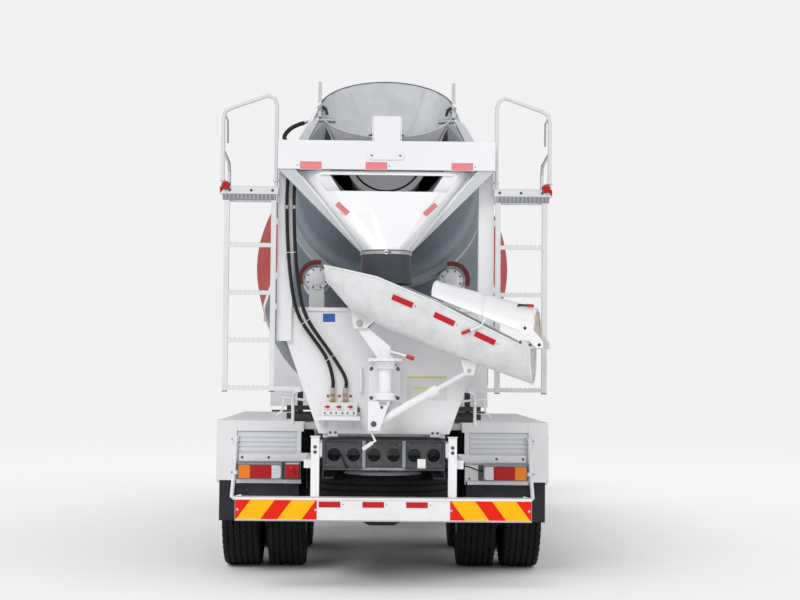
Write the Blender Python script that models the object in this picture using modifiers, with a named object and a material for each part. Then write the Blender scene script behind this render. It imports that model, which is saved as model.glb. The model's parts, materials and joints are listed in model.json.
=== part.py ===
"""Concrete mixer truck: three axles, cab over the engine, drum, swivel chute.

Metres, +X to the right, +Y forward, +Z up, ground at z = 0.
The origin is on the ground, in the middle of the truck.
"""

import math

import bmesh
import bpy
from mathutils import Matrix, Vector

for old_object in list(bpy.data.objects):
    bpy.data.objects.remove(old_object, do_unlink=True)

# Clearances
SEAT_GAP = 0.0003
RUNNING_GAP = 0.006

# Wheels and axles
TYRE_SIDES = 20
TYRE_RADIUS = 0.5425
TYRE_WIDTH = 0.293
BEAD_RADIUS = 0.262
TWIN_SPACING = 0.350
TWIN_X = 0.9185
FRONT_WHEEL_X = 1.020
FRONT_AXLE_Y = 2.940
REAR_AXLE_Y = (-0.860, -2.210)
WHEEL_Z = TYRE_RADIUS * math.cos(math.pi / TYRE_SIDES)
HUB_FACE = 0.200
FRONT_HUB_FACE = 0.060
KINGPIN_X = 0.860

# Ladder frame
RAIL_OUT = 0.430
RAIL_FLANGE = 0.080
RAIL_WALL = 0.008
RAIL_BOTTOM = 0.800
RAIL_TOP = 1.080
RAIL_REAR = -3.860
RAIL_FRONT = 4.200
SUBFRAME_TOP = 1.160
SUBFRAME_FRONT = 2.480

# Rear end
BUMPER_Y = -3.950
BUMPER_HALF = 1.030
BUMPER_BOTTOM = 0.514
BUMPER_TOP = 0.673
POST_IN = 0.450
POST_OUT = 0.510
SPARE_Y = -3.150
SPARE_Z = 0.645

# Tower
COLUMN_IN = 0.660
COLUMN_OUT = 0.760
COLUMN_REAR = -3.820
COLUMN_DEPTH = 0.100
TOWER_PLATE = 0.012
PLATE_REAR = -3.790
TOWER_FRONT = -2.150
TOWER_TOP = 1.990
TOWER_BOTTOM_HALF = 0.460
TOWER_TOP_HALF = 0.720
TOWER_SKIRT_Z = 1.110
BEAM_BOTTOM = 2.957
BEAM_TOP = 3.160
BEAM_REAR = -3.980
BEAM_DEPTH = 0.260
HOPPER_NOTCH = 0.530
FOLD_IN = 0.180
HANDLE_X = -0.165
VALVE_LOW_X = -0.440
VALVE_HIGH_X = -0.190
VALVE_LOW_Z = 1.235
VALVE_HIGH_Z = 1.330

# Ladders
LADDER_IN = 0.790
LADDER_OUT = 1.120
LADDER_TUBE = 0.036
LADDER_Y = -3.860
LADDER_FOOT = 1.425
RUNG_PITCH = 0.335
RUNG_COUNT = 4
PLATFORM_Z = 2.790
PLATFORM_OUT = 1.170
PLATFORM_DEPTH = 0.560
PLATFORM_THICK = 0.050
HOOP_INNER_Z = 3.490
HOOP_OUTER_Z = 3.400

# Drum, measured along its axis from the roller ring
DRUM_TILT = math.radians(13.0)
RING_Y = -2.450
RING_Z = 2.970
RING_RADIUS = 0.800
RING_HALF = 0.045
DRUM_WALL = 0.008
DRUM_SIDES = 32
MOUTH_T = -1.000
MOUTH_RADIUS = 0.460
SEAT_RADIUS = 0.745
BELLY_RADIUS = 1.160
BELLY_START_T = 2.050
BELLY_END_T = 2.870
NOSE_T = 4.450
NOSE_RADIUS = 0.620
DRUM_END_T = 4.660
DRUM_FLANGE_RADIUS = 0.220

# Rollers
ROLLER_RADIUS = 0.110
ROLLER_HALF = 0.050
ROLLER_ANGLE = math.radians(35.0)
ROLLER_GAP = 0.001
ROLLER_PIN = 0.025

# Charging hopper and feed pipe
PIPE_RADIUS = 0.260
PIPE_WALL = 0.006
PIPE_REAR_Y = -3.560
PIPE_FRONT_Y = -3.150
PIPE_REAR_Z = 3.045
PIPE_FRONT_Z = 3.010
RIM_HALF = 0.490
RIM_REAR_Y = -3.845
RIM_FRONT_Y = -3.330
RIM_REAR_Z = 3.200
RIM_FRONT_Z = 3.690

# Discharge hopper and its rubber skirt
OUTLET_Y = -4.060
OUTLET_Z = 2.400
OUTLET_RADIUS = 0.160
SPOUT_TOP_HALF = 0.600
SPOUT_FRONT_Y = -3.360
SKIRT_RADIUS = 0.175
SKIRT_WALL = 0.010
SKIRT_BOTTOM = 2.150

# Chute; its sections stand along the heading HEADING from the swivel axis
SWIVEL_Y = -4.090
HEADING = math.radians(-12.0)
POST_RADIUS = 0.045
NOTCH_COUNT = 14
BEARING_LOW = 1.345
BEARING_TOP = 1.620
TILT_PIN_U = -0.170
TILT_PIN_Z = 1.880
TILT_PIN_RADIUS = 0.0185
JACK_FOOT_U = -0.065
JACK_FOOT_Z = 1.190
JACK_EYE_U = 0.590
JACK_EYE_Z = 1.560
JACK_RADIUS = 0.030
CRANK_RADIUS = 0.010
SCREW_RADIUS = 0.018
FOLD_U = 1.085
FOLD_Z = 1.735

# Cab
CAB_HALF = 1.215
CAB_WALL = 0.040
CAB_REAR = 2.700
CAB_FRONT = 4.460
CAB_FLOOR = 1.150
CAB_ROOF = 2.900
CAB_PIVOT_Y = 4.300
CAB_PIVOT_Z = 1.060
DOOR_HINGE_Y = 4.190
DOOR_HINGE_X = CAB_HALF + 0.013
BUMPER_FRONT = 4.500

parts = bpy.data.collections.new("concrete_mixer_truck")
bpy.context.scene.collection.children.link(parts)
cutters = bpy.data.collections.new("cutters")
bpy.context.scene.collection.children.link(cutters)

WHITE = ("white_paint", (0.83, 0.83, 0.85), 0.35, 0.0)
LIGHT_GREY = ("light_grey_paint", (0.62, 0.65, 0.68), 0.40, 0.0)
SLATE = ("slate_drum_paint", (0.17, 0.21, 0.26), 0.40, 0.0)
CHASSIS_BLACK = ("chassis_black", (0.035, 0.037, 0.042), 0.60, 0.0)
TYRE_BLACK = ("tyre_black", (0.018, 0.018, 0.020), 0.85, 0.0)
RUBBER_GREY = ("rubber_grey", (0.045, 0.048, 0.055), 0.80, 0.0)
STEEL = ("bare_steel", (0.45, 0.45, 0.46), 0.35, 1.0)
GLASS = ("window_glass", (0.10, 0.13, 0.14), 0.05, 0.0)
LAMP_RED = ("lamp_red", (0.60, 0.03, 0.03), 0.20, 0.0)
TRIM = ("cab_trim", (0.09, 0.09, 0.10), 0.75, 0.0)


def material(spec):
    """Return the material of a colour table entry, made once."""
    name, colour, roughness, metallic = spec
    found = bpy.data.materials.get(name)
    if found:
        return found
    made = bpy.data.materials.new(name)
    made.use_nodes = True
    shader = made.node_tree.nodes["Principled BSDF"]
    shader.inputs["Base Color"].default_value = (*colour, 1.0)
    shader.inputs["Roughness"].default_value = roughness
    shader.inputs["Metallic"].default_value = metallic
    return made


def link(bm, name="piece", turn_out=True):
    """Turn a bmesh into an object in the parts collection, its faces pointing out."""
    if turn_out:
        bmesh.ops.recalc_face_normals(bm, faces=bm.faces)
    mesh = bpy.data.meshes.new(name)
    bm.to_mesh(mesh)
    bm.free()
    piece = bpy.data.objects.new(name, mesh)
    parts.objects.link(piece)
    return piece


def bake(piece, turn_out=True):
    """Apply every modifier, or turn a curve into a mesh, and weld what coincides.

    A Boolean's result already points out, also where it lines a hollow.
    """
    bpy.context.view_layer.update()
    evaluated = piece.evaluated_get(bpy.context.evaluated_depsgraph_get())
    mesh = bpy.data.meshes.new_from_object(evaluated)
    bm = bmesh.new()
    bm.from_mesh(mesh)
    bm.transform(piece.matrix_world)
    bmesh.ops.remove_doubles(bm, verts=bm.verts, dist=0.00005)
    bmesh.ops.dissolve_degenerate(bm, edges=bm.edges, dist=0.00005)
    bpy.data.objects.remove(piece, do_unlink=True)
    return link(bm, turn_out=turn_out)


def block(x, y, z):
    """A box between the low and high value of each axis."""
    bm = bmesh.new()
    bmesh.ops.create_cube(bm, size=1.0)
    size = Vector((x[1] - x[0], y[1] - y[0], z[1] - z[0]))
    centre = Vector((x[1] + x[0], y[1] + y[0], z[1] + z[0])) / 2
    bmesh.ops.scale(bm, vec=size, verts=bm.verts)
    bmesh.ops.translate(bm, vec=centre, verts=bm.verts)
    return link(bm)


def aim(start, direction):
    """A matrix that takes +Z to the direction and the origin to the start."""
    turn = Vector((0, 0, 1)).rotation_difference(Vector(direction)).to_matrix().to_4x4()
    return Matrix.Translation(start) @ turn


def rod(start, end, radius, end_radius=None, sides=12):
    """A round bar or cone between two points."""
    start = Vector(start)
    end = Vector(end)
    bm = bmesh.new()
    bmesh.ops.create_cone(
        bm, cap_ends=True, cap_tris=False, segments=sides,
        radius1=radius, radius2=end_radius or radius, depth=(end - start).length,
        matrix=aim((start + end) / 2, end - start) @ Matrix.Rotation(math.pi / sides, 4, "Z"))
    return link(bm)


def prism(outline, low, high, across="X"):
    """A flat outline made thick along one axis: (y, z), (x, z) or (x, y) points."""
    place = {
        "X": lambda a, b: (low, a, b),
        "Y": lambda a, b: (a, low, b),
        "Z": lambda a, b: (a, b, low),
    }[across]
    step = {"X": Vector((1, 0, 0)), "Y": Vector((0, 1, 0)), "Z": Vector((0, 0, 1))}[across]
    bm = bmesh.new()
    face = bm.faces.new([bm.verts.new(place(a, b)) for a, b in outline])
    grown = bmesh.ops.extrude_face_region(bm, geom=[face])
    moved = [item for item in grown["geom"] if isinstance(item, bmesh.types.BMVert)]
    bmesh.ops.translate(bm, vec=step * (high - low), verts=moved)
    return link(bm)


def turned(profile, start, direction, sides, closed=False):
    """Turn (radius, height) points about an axis; a closed profile makes a ring."""
    mesh = bpy.data.meshes.new("profile")
    edges = [(index, index + 1) for index in range(len(profile) - 1)]
    if closed:
        edges.append((len(profile) - 1, 0))
    mesh.from_pydata([(radius, 0, height) for radius, height in profile], edges, [])
    piece = bpy.data.objects.new("turned", mesh)
    parts.objects.link(piece)
    screw = piece.modifiers.new("turn", "SCREW")
    screw.steps = sides
    screw.render_steps = sides
    screw.use_merge_vertices = True
    screw.merge_threshold = 0.00005
    half_step = Matrix.Rotation(math.pi / sides, 4, "Z")
    piece.matrix_world = aim(start, direction) @ half_step
    return bake(piece)


def tube(points, radius, resolution=1):
    """A round bar bent through the points."""
    curve = bpy.data.curves.new("route", "CURVE")
    curve.dimensions = "3D"
    curve.bevel_depth = radius
    curve.bevel_resolution = resolution
    curve.use_fill_caps = True
    spline = curve.splines.new("POLY")
    spline.points.add(len(points) - 1)
    for point, position in zip(spline.points, points):
        point.co = (*position, 1.0)
    piece = bpy.data.objects.new("tube", curve)
    parts.objects.link(piece)
    return bake(piece)


def loft(sections, closed=True, capped=True):
    """Skin a list of point rings of equal length."""
    bm = bmesh.new()
    rings = [[bm.verts.new(point) for point in section] for section in sections]
    count = len(rings[0])
    last = count if closed else count - 1
    for low, high in zip(rings, rings[1:]):
        for index in range(last):
            after = (index + 1) % count
            bm.faces.new((low[index], low[after], high[after], high[index]))
    if capped:
        bm.faces.new(rings[0])
        bm.faces.new(rings[-1])
    return link(bm)


def shell(piece, thickness, outward=0.0):
    """Give an open surface a wall."""
    wall = piece.modifiers.new("wall", "SOLIDIFY")
    wall.thickness = thickness
    wall.offset = outward
    wall.use_even_offset = True
    return bake(piece)


def combine(piece, others, operation):
    """Join or cut a piece with the others, which are used up."""
    for other in others:
        step = piece.modifiers.new("step", "BOOLEAN")
        step.operation = operation
        step.solver = "EXACT"
        step.object = other
        piece = bake(piece, turn_out=False)
        bpy.data.objects.remove(other, do_unlink=True)
    return piece


def fuse(piece, *others):
    return combine(piece, others, "UNION")


def cut(piece, *others):
    return combine(piece, others, "DIFFERENCE")


def span(side, low, high):
    """The x range of something from low to high off the centre plane."""
    return (side * low, side * high) if side > 0 else (-high, -low)


def name_side(side):
    return "right" if side > 0 else "left"


pivots = {}


def pivot(name, position, parent=None):
    """An empty that stands on a joint's axis and carries the pieces of its body."""
    empty = bpy.data.objects.new(f"{name}_pivot", None)
    empty.empty_display_size = 0.1
    parts.objects.link(empty)
    empty.location = position
    pivots[name] = Vector(position)
    if parent:
        empty.parent = bpy.data.objects[f"{parent}_pivot"]
        empty.matrix_parent_inverse = Matrix.Translation(-pivots[parent])
    return empty


def finish(piece, name, spec, body=None):
    """Name a piece, colour it, and set its origin on its body's pivot."""
    piece.name = name
    piece.data.name = name
    piece.data.materials.clear()
    piece.data.materials.append(material(spec))
    piece.data.shade_smooth()
    piece.data.set_sharp_from_angle(angle=math.radians(32))
    if body:
        origin = pivots[body]
        piece.data.transform(Matrix.Translation(-origin))
        piece.location = origin
        piece.parent = bpy.data.objects[f"{body}_pivot"]
        piece.matrix_parent_inverse = Matrix.Translation(-origin)
    return piece


def drum_point(along, up=0.0, side=0.0):
    """A point beside the drum's axis, measured from the roller ring."""
    return Vector((
        side,
        RING_Y + along * math.cos(DRUM_TILT) + up * math.sin(DRUM_TILT),
        RING_Z - along * math.sin(DRUM_TILT) + up * math.cos(DRUM_TILT)))


DRUM_AXIS = Vector((0, math.cos(DRUM_TILT), -math.sin(DRUM_TILT)))
DRUM_UP = Vector((0, math.sin(DRUM_TILT), math.cos(DRUM_TILT)))


def chute_point(along, across, height):
    """A point in the chute's own plan: along its heading, across it, and up."""
    return Vector((
        along * math.cos(HEADING) - across * math.sin(HEADING),
        SWIVEL_Y + along * math.sin(HEADING) + across * math.cos(HEADING),
        height))


CHUTE_ALONG = Vector((math.cos(HEADING), math.sin(HEADING), 0))
CHUTE_SIDE = Vector((-math.sin(HEADING), math.cos(HEADING), 0))


# Wheels

# columns: radius, distance out from the wheel's middle
TWIN_OUTER = (
    (0.000, 0.130), (0.085, 0.130), (0.092, 0.015), (0.232, 0.040), (0.247, 0.306), (0.285, 0.314))
TWIN_INNER = (
    (0.280, -0.306), (0.205, -0.306), (0.205, -HUB_FACE), (0.000, -HUB_FACE))
SINGLE_OUTER = (
    (0.000, 0.190), (0.080, 0.190), (0.090, 0.100), (0.200, 0.085), (0.247, 0.120), (0.285, 0.138))
SINGLE_INNER = (
    (0.280, -0.131), (0.200, -0.131), (0.200, -FRONT_HUB_FACE), (0.000, -FRONT_HUB_FACE))
# columns: share of the sidewall's height, share of half the width
TYRE_PROFILE = ((0.20, 0.86), (0.60, 1.00), (0.93, 0.93), (1.00, 0.72))


def tyre_outline(offset):
    """The tyre's outline from its outer to its inner side, at an offset from the middle."""
    half = TYRE_WIDTH / 2
    side = [
        (BEAD_RADIUS + rise * (TYRE_RADIUS - BEAD_RADIUS), out * half)
        for rise, out in TYRE_PROFILE]
    outer = [(radius, offset + out) for radius, out in side]
    inner = [(radius, offset - out) for radius, out in reversed(side)]
    return outer + inner


def single_wheel(centre, axis):
    """One rim with its tyre and brake drum, turned in one outline."""
    profile = [*SINGLE_OUTER, *tyre_outline(0.0), *SINGLE_INNER]
    return turned(profile, centre, axis, TYRE_SIDES)


def twin_wheel(side, label, axle_y):
    """Two rims back to back with their tyres and the brake drum."""
    name = f"wheel_{label}_{name_side(side)}"
    centre = Vector((side * TWIN_X, axle_y, WHEEL_Z))
    pivot(name, centre)
    profile = [
        *TWIN_OUTER, *tyre_outline(TWIN_SPACING / 2), *tyre_outline(-TWIN_SPACING / 2), *TWIN_INNER]
    finish(turned(profile, centre, (side, 0, 0), TYRE_SIDES), name, TYRE_BLACK, name)


def front_wheel(side):
    name = name_side(side)
    knuckle_body = f"knuckle_{name}"
    pivot(knuckle_body, (side * KINGPIN_X, FRONT_AXLE_Y, WHEEL_Z))
    body = f"wheel_front_{name}"
    centre = Vector((side * FRONT_WHEEL_X, FRONT_AXLE_Y, WHEEL_Z))
    pivot(body, centre, knuckle_body)
    finish(single_wheel(centre, (side, 0, 0)), body, TYRE_BLACK, body)

    hub_x = FRONT_WHEEL_X - FRONT_HUB_FACE - SEAT_GAP
    eye_half = AXLE_EYE_HALF + SEAT_GAP
    flange = rod((side * (hub_x - 0.035), FRONT_AXLE_Y, WHEEL_Z),
                 (side * hub_x, FRONT_AXLE_Y, WHEEL_Z), KNUCKLE_REACH, sides=16)
    ears = []
    for sign in (-1, 1):
        heights = sorted((WHEEL_Z + sign * eye_half, WHEEL_Z + sign * (eye_half + 0.045)))
        ears.append(block(span(side, KINGPIN_X - 0.05, hub_x - 0.01),
                          (FRONT_AXLE_Y - 0.045, FRONT_AXLE_Y + 0.045), heights))
    arm = prism([
        (side * (hub_x - 0.03), FRONT_AXLE_Y - 0.03),
        (side * (hub_x - 0.03), FRONT_AXLE_Y - 0.10),
        (side * (KINGPIN_X - 0.04), FRONT_AXLE_Y - 0.26),
        (side * (KINGPIN_X - 0.09), FRONT_AXLE_Y - 0.23),
        (side * (KINGPIN_X - 0.04), FRONT_AXLE_Y - 0.03),
    ], WHEEL_Z - eye_half - 0.040, WHEEL_Z - eye_half - 0.010, "Z")
    finish(fuse(flange, *ears, arm), f"knuckle_{name}", CHASSIS_BLACK, knuckle_body)


AXLE_EYE_HALF = 0.065
AXLE_EYE_RADIUS = 0.048
KNUCKLE_REACH = 0.130


def front_axle():
    """A dropped beam with kingpin eyes, spring pads and the two leaf springs."""
    low = WHEEL_Z - 0.140
    beam_half = 0.045
    outline = [
        (-0.860, WHEEL_Z + 0.050), (-0.760, WHEEL_Z + 0.050), (-0.640, low + 0.100),
        (0.640, low + 0.100), (0.760, WHEEL_Z + 0.050), (0.860, WHEEL_Z + 0.050),
        (0.860, WHEEL_Z - 0.055), (0.770, WHEEL_Z - 0.055), (0.640, low),
        (-0.640, low), (-0.770, WHEEL_Z - 0.055), (-0.860, WHEEL_Z - 0.055)]
    beam = prism(outline, FRONT_AXLE_Y - beam_half, FRONT_AXLE_Y + beam_half, "Y")
    eyes = [
        rod((side * KINGPIN_X, FRONT_AXLE_Y, WHEEL_Z - AXLE_EYE_HALF),
            (side * KINGPIN_X, FRONT_AXLE_Y, WHEEL_Z + AXLE_EYE_HALF), AXLE_EYE_RADIUS)
        for side in (-1, 1)]
    springs = [leaf_spring(side, 0.350, 0.430, FRONT_AXLE_Y, 0.760, low + 0.090, 4, 0.100)
               for side in (-1, 1)]
    finish(fuse(beam, *eyes, *springs), "front_axle", CHASSIS_BLACK)


def leaf_spring(side, inner, outer, middle_y, half_length, bottom, leaves, camber):
    """Leaves of falling length, as a stepped outline; camber lifts the ends."""
    leaf = 0.016
    steps = 5

    def height(offset):
        return bottom + camber * (offset / half_length) ** 2

    lower = []
    for level in range(leaves):
        reach = half_length * (0.30 + 0.70 * level / (leaves - 1))
        base = level * leaf
        lower.append((reach, height(reach) + base))
        lower.append((reach, height(reach) + base + leaf))
    top = [
        (half_length * share / steps, height(half_length * share / steps) + leaves * leaf)
        for share in range(steps - 1, -1, -1)]
    right = lower + top
    left = [(-offset, level) for offset, level in reversed(right[:-1])]
    outline = [(middle_y + offset, level) for offset, level in right + left]
    return prism(outline, *span(side, inner, outer))


def spring_hangers():
    """Brackets under the rails that hold the front springs' ends."""
    low = WHEEL_Z - 0.140
    pieces = []
    for side in (-1, 1):
        for end in (-1, 1):
            y = FRONT_AXLE_Y + end * 0.790
            pieces.append(block(
                span(side, RAIL_OUT - RAIL_FLANGE, RAIL_OUT),
                (y - 0.030 + SEAT_GAP, y + 0.030 - SEAT_GAP),
                (low + 0.150, RAIL_BOTTOM + 0.004)))
    return pieces


def ladder_frame():
    """Two channel rails, their cross members and the front spring hangers."""
    rails = []
    for side in (-1, 1):
        web = side * (RAIL_OUT - RAIL_WALL)
        lip = side * (RAIL_OUT - RAIL_FLANGE)
        out = side * RAIL_OUT
        outline = [
            (out, RAIL_BOTTOM), (out, RAIL_TOP), (lip, RAIL_TOP),
            (lip, RAIL_TOP - RAIL_WALL), (web, RAIL_TOP - RAIL_WALL),
            (web, RAIL_BOTTOM + RAIL_WALL), (lip, RAIL_BOTTOM + RAIL_WALL),
            (lip, RAIL_BOTTOM)]
        rails.append(prism(outline, RAIL_REAR, RAIL_FRONT, "Y"))
    members = [
        block((-RAIL_OUT + 0.004, RAIL_OUT - 0.004), (y - 0.050, y + 0.050), z)
        for y, z in CROSS_MEMBERS]
    finish(fuse(rails[0], *members, rails[1], *spring_hangers(), *cab_carriers(), *spare_carrier()),
           "ladder_frame", CHASSIS_BLACK)


# columns: y, (bottom, top)
CROSS_MEMBERS = (
    (-3.550, (0.950, 1.060)),
    (-2.500, (0.880, 1.060)),
    (-1.535, (0.880, 1.060)),
    (-0.200, (0.880, 1.060)),
    (1.300, (0.930, 1.060)),
    (1.950, (0.960, 1.060)),
    (4.120, (0.840, 0.940)),
)


def subframe():
    """The mixer's own two long members on the rails, with cross pieces."""
    low = RAIL_TOP + SEAT_GAP
    beams = [
        block(span(side, RAIL_OUT - RAIL_FLANGE, RAIL_OUT),
              (PLATE_REAR + TOWER_PLATE + SEAT_GAP, SUBFRAME_FRONT),
              (low, SUBFRAME_TOP))
        for side in (-1, 1)]
    ties = [
        block((-RAIL_OUT + 0.010, RAIL_OUT - 0.010), (y - 0.040, y + 0.040),
              (low + 0.010, SUBFRAME_TOP - 0.030))
        for y in (-3.700, -2.000, -0.900, 0.900, 2.250)]
    finish(fuse(beams[0], *ties, beams[1]), "subframe", WHITE)


def rear_axle(name, axle_y):
    """Banjo housing on its tube, with brake plates, spring saddles and pinion nose."""
    end = TWIN_X - HUB_FACE - SEAT_GAP
    half = [
        (0.185, end), (0.185, end - 0.020), (0.072, end - 0.030), (0.072, 0.300),
        (0.160, 0.220), (0.225, 0.100)]
    profile = [(0.0, end), *half]
    profile += [(radius, -along) for radius, along in reversed(half)]
    profile.append((0.0, -end))
    housing = turned(profile, (0, axle_y, WHEEL_Z), (1, 0, 0), 12)
    saddles = [
        block(span(side, 0.450, 0.560), (axle_y - 0.070, axle_y + 0.070),
              (WHEEL_Z, SADDLE_TOP))
        for side in (-1, 1)]
    nose = rod((0, axle_y, SHAFT_Z), (0, axle_y + NOSE_REACH, SHAFT_Z), 0.120, 0.075)
    pieces = [nose, *saddles]
    if axle_y == REAR_AXLE_Y[0]:
        nose_y = REAR_AXLE_Y[1] + NOSE_REACH + SEAT_GAP
        pieces.append(rod((0, axle_y, SHAFT_Z), (0, axle_y - TAIL_REACH, SHAFT_Z), 0.100, 0.070))
        pieces.append(rod((0, axle_y - 0.200, SHAFT_Z), (0, nose_y, SHAFT_Z), 0.038))
        pieces.append(rod((0, nose_y + 0.030, SHAFT_Z), (0, nose_y, SHAFT_Z), 0.060))
    finish(fuse(housing, *pieces), name, CHASSIS_BLACK)


SADDLE_TOP = 0.630
SHAFT_Z = 0.680
NOSE_REACH = 0.420
TAIL_REACH = 0.330
TRUNNION_Y = (REAR_AXLE_Y[0] + REAR_AXLE_Y[1]) / 2
TRUNNION_Z = 0.550


def tandem_suspension():
    """Trunnion tube, its brackets under the rails and the two balance springs."""
    axle = rod((-0.580, TRUNNION_Y, TRUNNION_Z), (0.580, TRUNNION_Y, TRUNNION_Z), 0.055)
    pieces = []
    half = (REAR_AXLE_Y[0] - REAR_AXLE_Y[1]) / 2 + 0.060
    for side in (-1, 1):
        pieces.append(block(
            span(side, RAIL_OUT - RAIL_FLANGE, RAIL_OUT),
            (TRUNNION_Y - 0.110, TRUNNION_Y + 0.110),
            (TRUNNION_Z - 0.070, RAIL_BOTTOM - SEAT_GAP)))
        pieces.append(block(
            span(side, 0.450, 0.570), (TRUNNION_Y - 0.090, TRUNNION_Y + 0.090),
            (TRUNNION_Z - 0.070, SADDLE_TOP + 0.030)))
        pieces.append(balance_spring(side, half))
    finish(fuse(axle, *pieces), "tandem_suspension", CHASSIS_BLACK)


def balance_spring(side, half):
    """A leaf pack over the trunnion whose long leaves rest on both axles."""
    leaf = 0.022
    leaves = 6
    bottom = SADDLE_TOP + SEAT_GAP
    right = [(half, bottom)]
    for level in range(leaves):
        reach = half * (1.0 - 0.14 * level)
        right.append((reach, bottom + level * leaf + leaf))
        if level < leaves - 1:
            right.append((half * (1.0 - 0.14 * (level + 1)), bottom + level * leaf + leaf))
    left = [(-offset, level) for offset, level in reversed(right)]
    outline = [(TRUNNION_Y + offset, level) for offset, level in right + left]
    return prism(outline, *span(side, 0.460, 0.550))


GEARBOX_REAR = 2.050
GEARBOX_Z = 0.820
ENGINE_REAR = 2.900


def drive_line():
    """Engine block, and the gearbox with its shaft to the middle axle."""
    finish(block((-0.320, 0.320), (ENGINE_REAR, 3.900), (0.640, 1.100)), "engine", CHASSIS_BLACK)
    case = rod((0, ENGINE_REAR - SEAT_GAP, GEARBOX_Z), (0, GEARBOX_REAR, GEARBOX_Z), 0.230, 0.110)
    nose_y = REAR_AXLE_Y[0] + NOSE_REACH + SEAT_GAP
    shaft = rod((0, GEARBOX_REAR + 0.050, GEARBOX_Z), (0, nose_y + 0.015, SHAFT_Z), 0.050)
    flange = rod((0, nose_y + 0.030, SHAFT_Z), (0, nose_y, SHAFT_Z), 0.075)
    finish(fuse(case, shaft, flange), "gearbox_and_prop_shaft", CHASSIS_BLACK)


def fuel_tank():
    """Tank on two arms; the left side guard runs on from its rear end."""
    tank = block((-1.200, -0.560), (0.750, 1.950), (0.480, 1.020))
    edge = tank.modifiers.new("edge", "BEVEL")
    edge.width = 0.070
    edge.segments = 2
    edge.limit_method = "ANGLE"
    tank = bake(tank)
    arms = [block((-0.700, -RAIL_OUT - SEAT_GAP), (y - 0.040, y + 0.040), (0.830, 1.000))
            for y in (1.000, 1.700)]
    finish(fuse(tank, *arms, *side_guard(-1, 0.800)), "fuel_tank_and_guard", STEEL)


def battery_box():
    """Battery box and air tank; the right side guard runs on from its rear end."""
    box = block((0.620, 1.180), (1.350, 1.950), (0.520, 0.960))
    arm = block((RAIL_OUT + SEAT_GAP, 0.640), (1.400, 1.900), (0.830, 0.930))
    air = rod((0.860, 0.350, 0.720), (0.860, 1.360, 0.720), 0.140, sides=16)
    finish(fuse(box, arm, air, *side_guard(1, 1.400)), "battery_box_and_guard", CHASSIS_BLACK)


def side_guard(side, front):
    """Two rails along the side between the axles, with a hanger to the frame."""
    rails = [block(span(side, 1.140, 1.170), (-0.160, front), (z, z + 0.090))
             for z in (0.560, 0.760)]
    upright = block(span(side, 1.110, 1.142), (-0.030, 0.030), (0.560, 0.900))
    arm = block(span(side, RAIL_OUT + SEAT_GAP, 1.120), (-0.028, 0.028), (0.840, 0.900))
    return [*rails, upright, arm]


# Rear end

def band(points, thickness):
    """The outline of a bent sheet: the line of points and its offset."""
    inner = offset_line(points, thickness)
    return points + inner[::-1]


def offset_line(points, distance):
    """Shift an open line sideways, with mitred corners."""
    vectors = [Vector(point) for point in points]
    moved = []
    for index, point in enumerate(vectors):
        before = (point - vectors[index - 1]).normalized() if index else None
        after = (vectors[index + 1] - point).normalized() if index < len(vectors) - 1 else None
        first = before or after
        second = after or before
        normal = Vector((-first.y - second.y, first.x + second.x)).normalized()
        scale = normal.dot(Vector((-first.y, first.x)))
        moved.append(tuple(point + normal * distance / scale))
    return moved


FENDER_TOP = 1.170
FENDER_SHEET = 0.012
FENDER_IN = 0.620
FENDER_OUT = 1.250
FENDER_REAR = -2.980
BOARD_IN = 1.102
BOARD_THICK = 0.018
RIB_HEIGHT = 0.008
RIB_WIDTH = 0.018
STAY_RADIUS = 0.014
STAY_LINE = (
    (1.106, 1.050), (1.110, 0.900), (1.126, 0.690), (1.134, 0.600), (1.120, 0.588), (1.060, 0.604))
STAY_Y = FENDER_REAR - BOARD_THICK - STAY_RADIUS + 0.004
FENDER_LINE = (
    (FENDER_REAR, 0.700), (FENDER_REAR, 0.870), (FENDER_REAR + 0.010, 1.040),
    (FENDER_REAR + 0.060, 1.120),
    (FENDER_REAR + 0.150, FENDER_TOP), (-0.420, FENDER_TOP), (-0.300, 1.120),
    (-0.240, 1.000), (-0.240, 0.640))


def mudguard(side):
    """One long guard over both rear axles, its stays, and the bar to the bumper post."""
    sheet = prism(band(list(FENDER_LINE), -FENDER_SHEET), *span(side, FENDER_IN, FENDER_OUT))
    lip = block(span(side, FENDER_OUT - 0.012, FENDER_OUT), (-2.800, -0.430),
                (FENDER_TOP - 0.060, FENDER_TOP - 0.004))
    stays = []
    for y in (-0.550, TRUNNION_Y, -2.720):
        stays.append(block(span(side, FENDER_IN - 0.020, FENDER_OUT - 0.100), (y - 0.020, y + 0.020),
                           (FENDER_TOP - 0.050, FENDER_TOP - 0.006)))
        stays.append(block(span(side, RAIL_OUT + SEAT_GAP, FENDER_IN + 0.020), (y - 0.018, y + 0.018),
                           (FENDER_TOP - 0.070, SUBFRAME_TOP - 0.010)))
    tie = block(span(side, FENDER_IN - 0.080, FENDER_IN + 0.040),
                (FENDER_REAR - 0.030, FENDER_REAR + 0.010), (0.870, 0.930))
    run = block(span(side, POST_IN, FENDER_IN - 0.060), (BUMPER_Y + 0.110 + SEAT_GAP,
                FENDER_REAR + 0.002), (0.870, 0.930))
    board = block(span(side, BOARD_IN, FENDER_OUT), (FENDER_REAR - BOARD_THICK, FENDER_REAR + 0.002),
                  (0.732, 0.900))
    upper = block(span(side, BOARD_IN, FENDER_OUT), (FENDER_REAR - BOARD_THICK, FENDER_REAR + 0.014),
                  (0.890, 1.060))
    ribs = [block(span(side, FENDER_IN + 0.040, BOARD_IN + 0.010),
                  (FENDER_REAR - RIB_HEIGHT, FENDER_REAR + 0.009), (z, z + RIB_WIDTH))
            for z in (0.945, 0.980, 1.015)]
    stay = tube([(side * x, STAY_Y, z) for x, z in STAY_LINE], STAY_RADIUS)
    finish(fuse(sheet, lip, *stays, tie, run, board, upper, *ribs, stay),
           f"mudguard_{name_side(side)}", WHITE)


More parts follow.
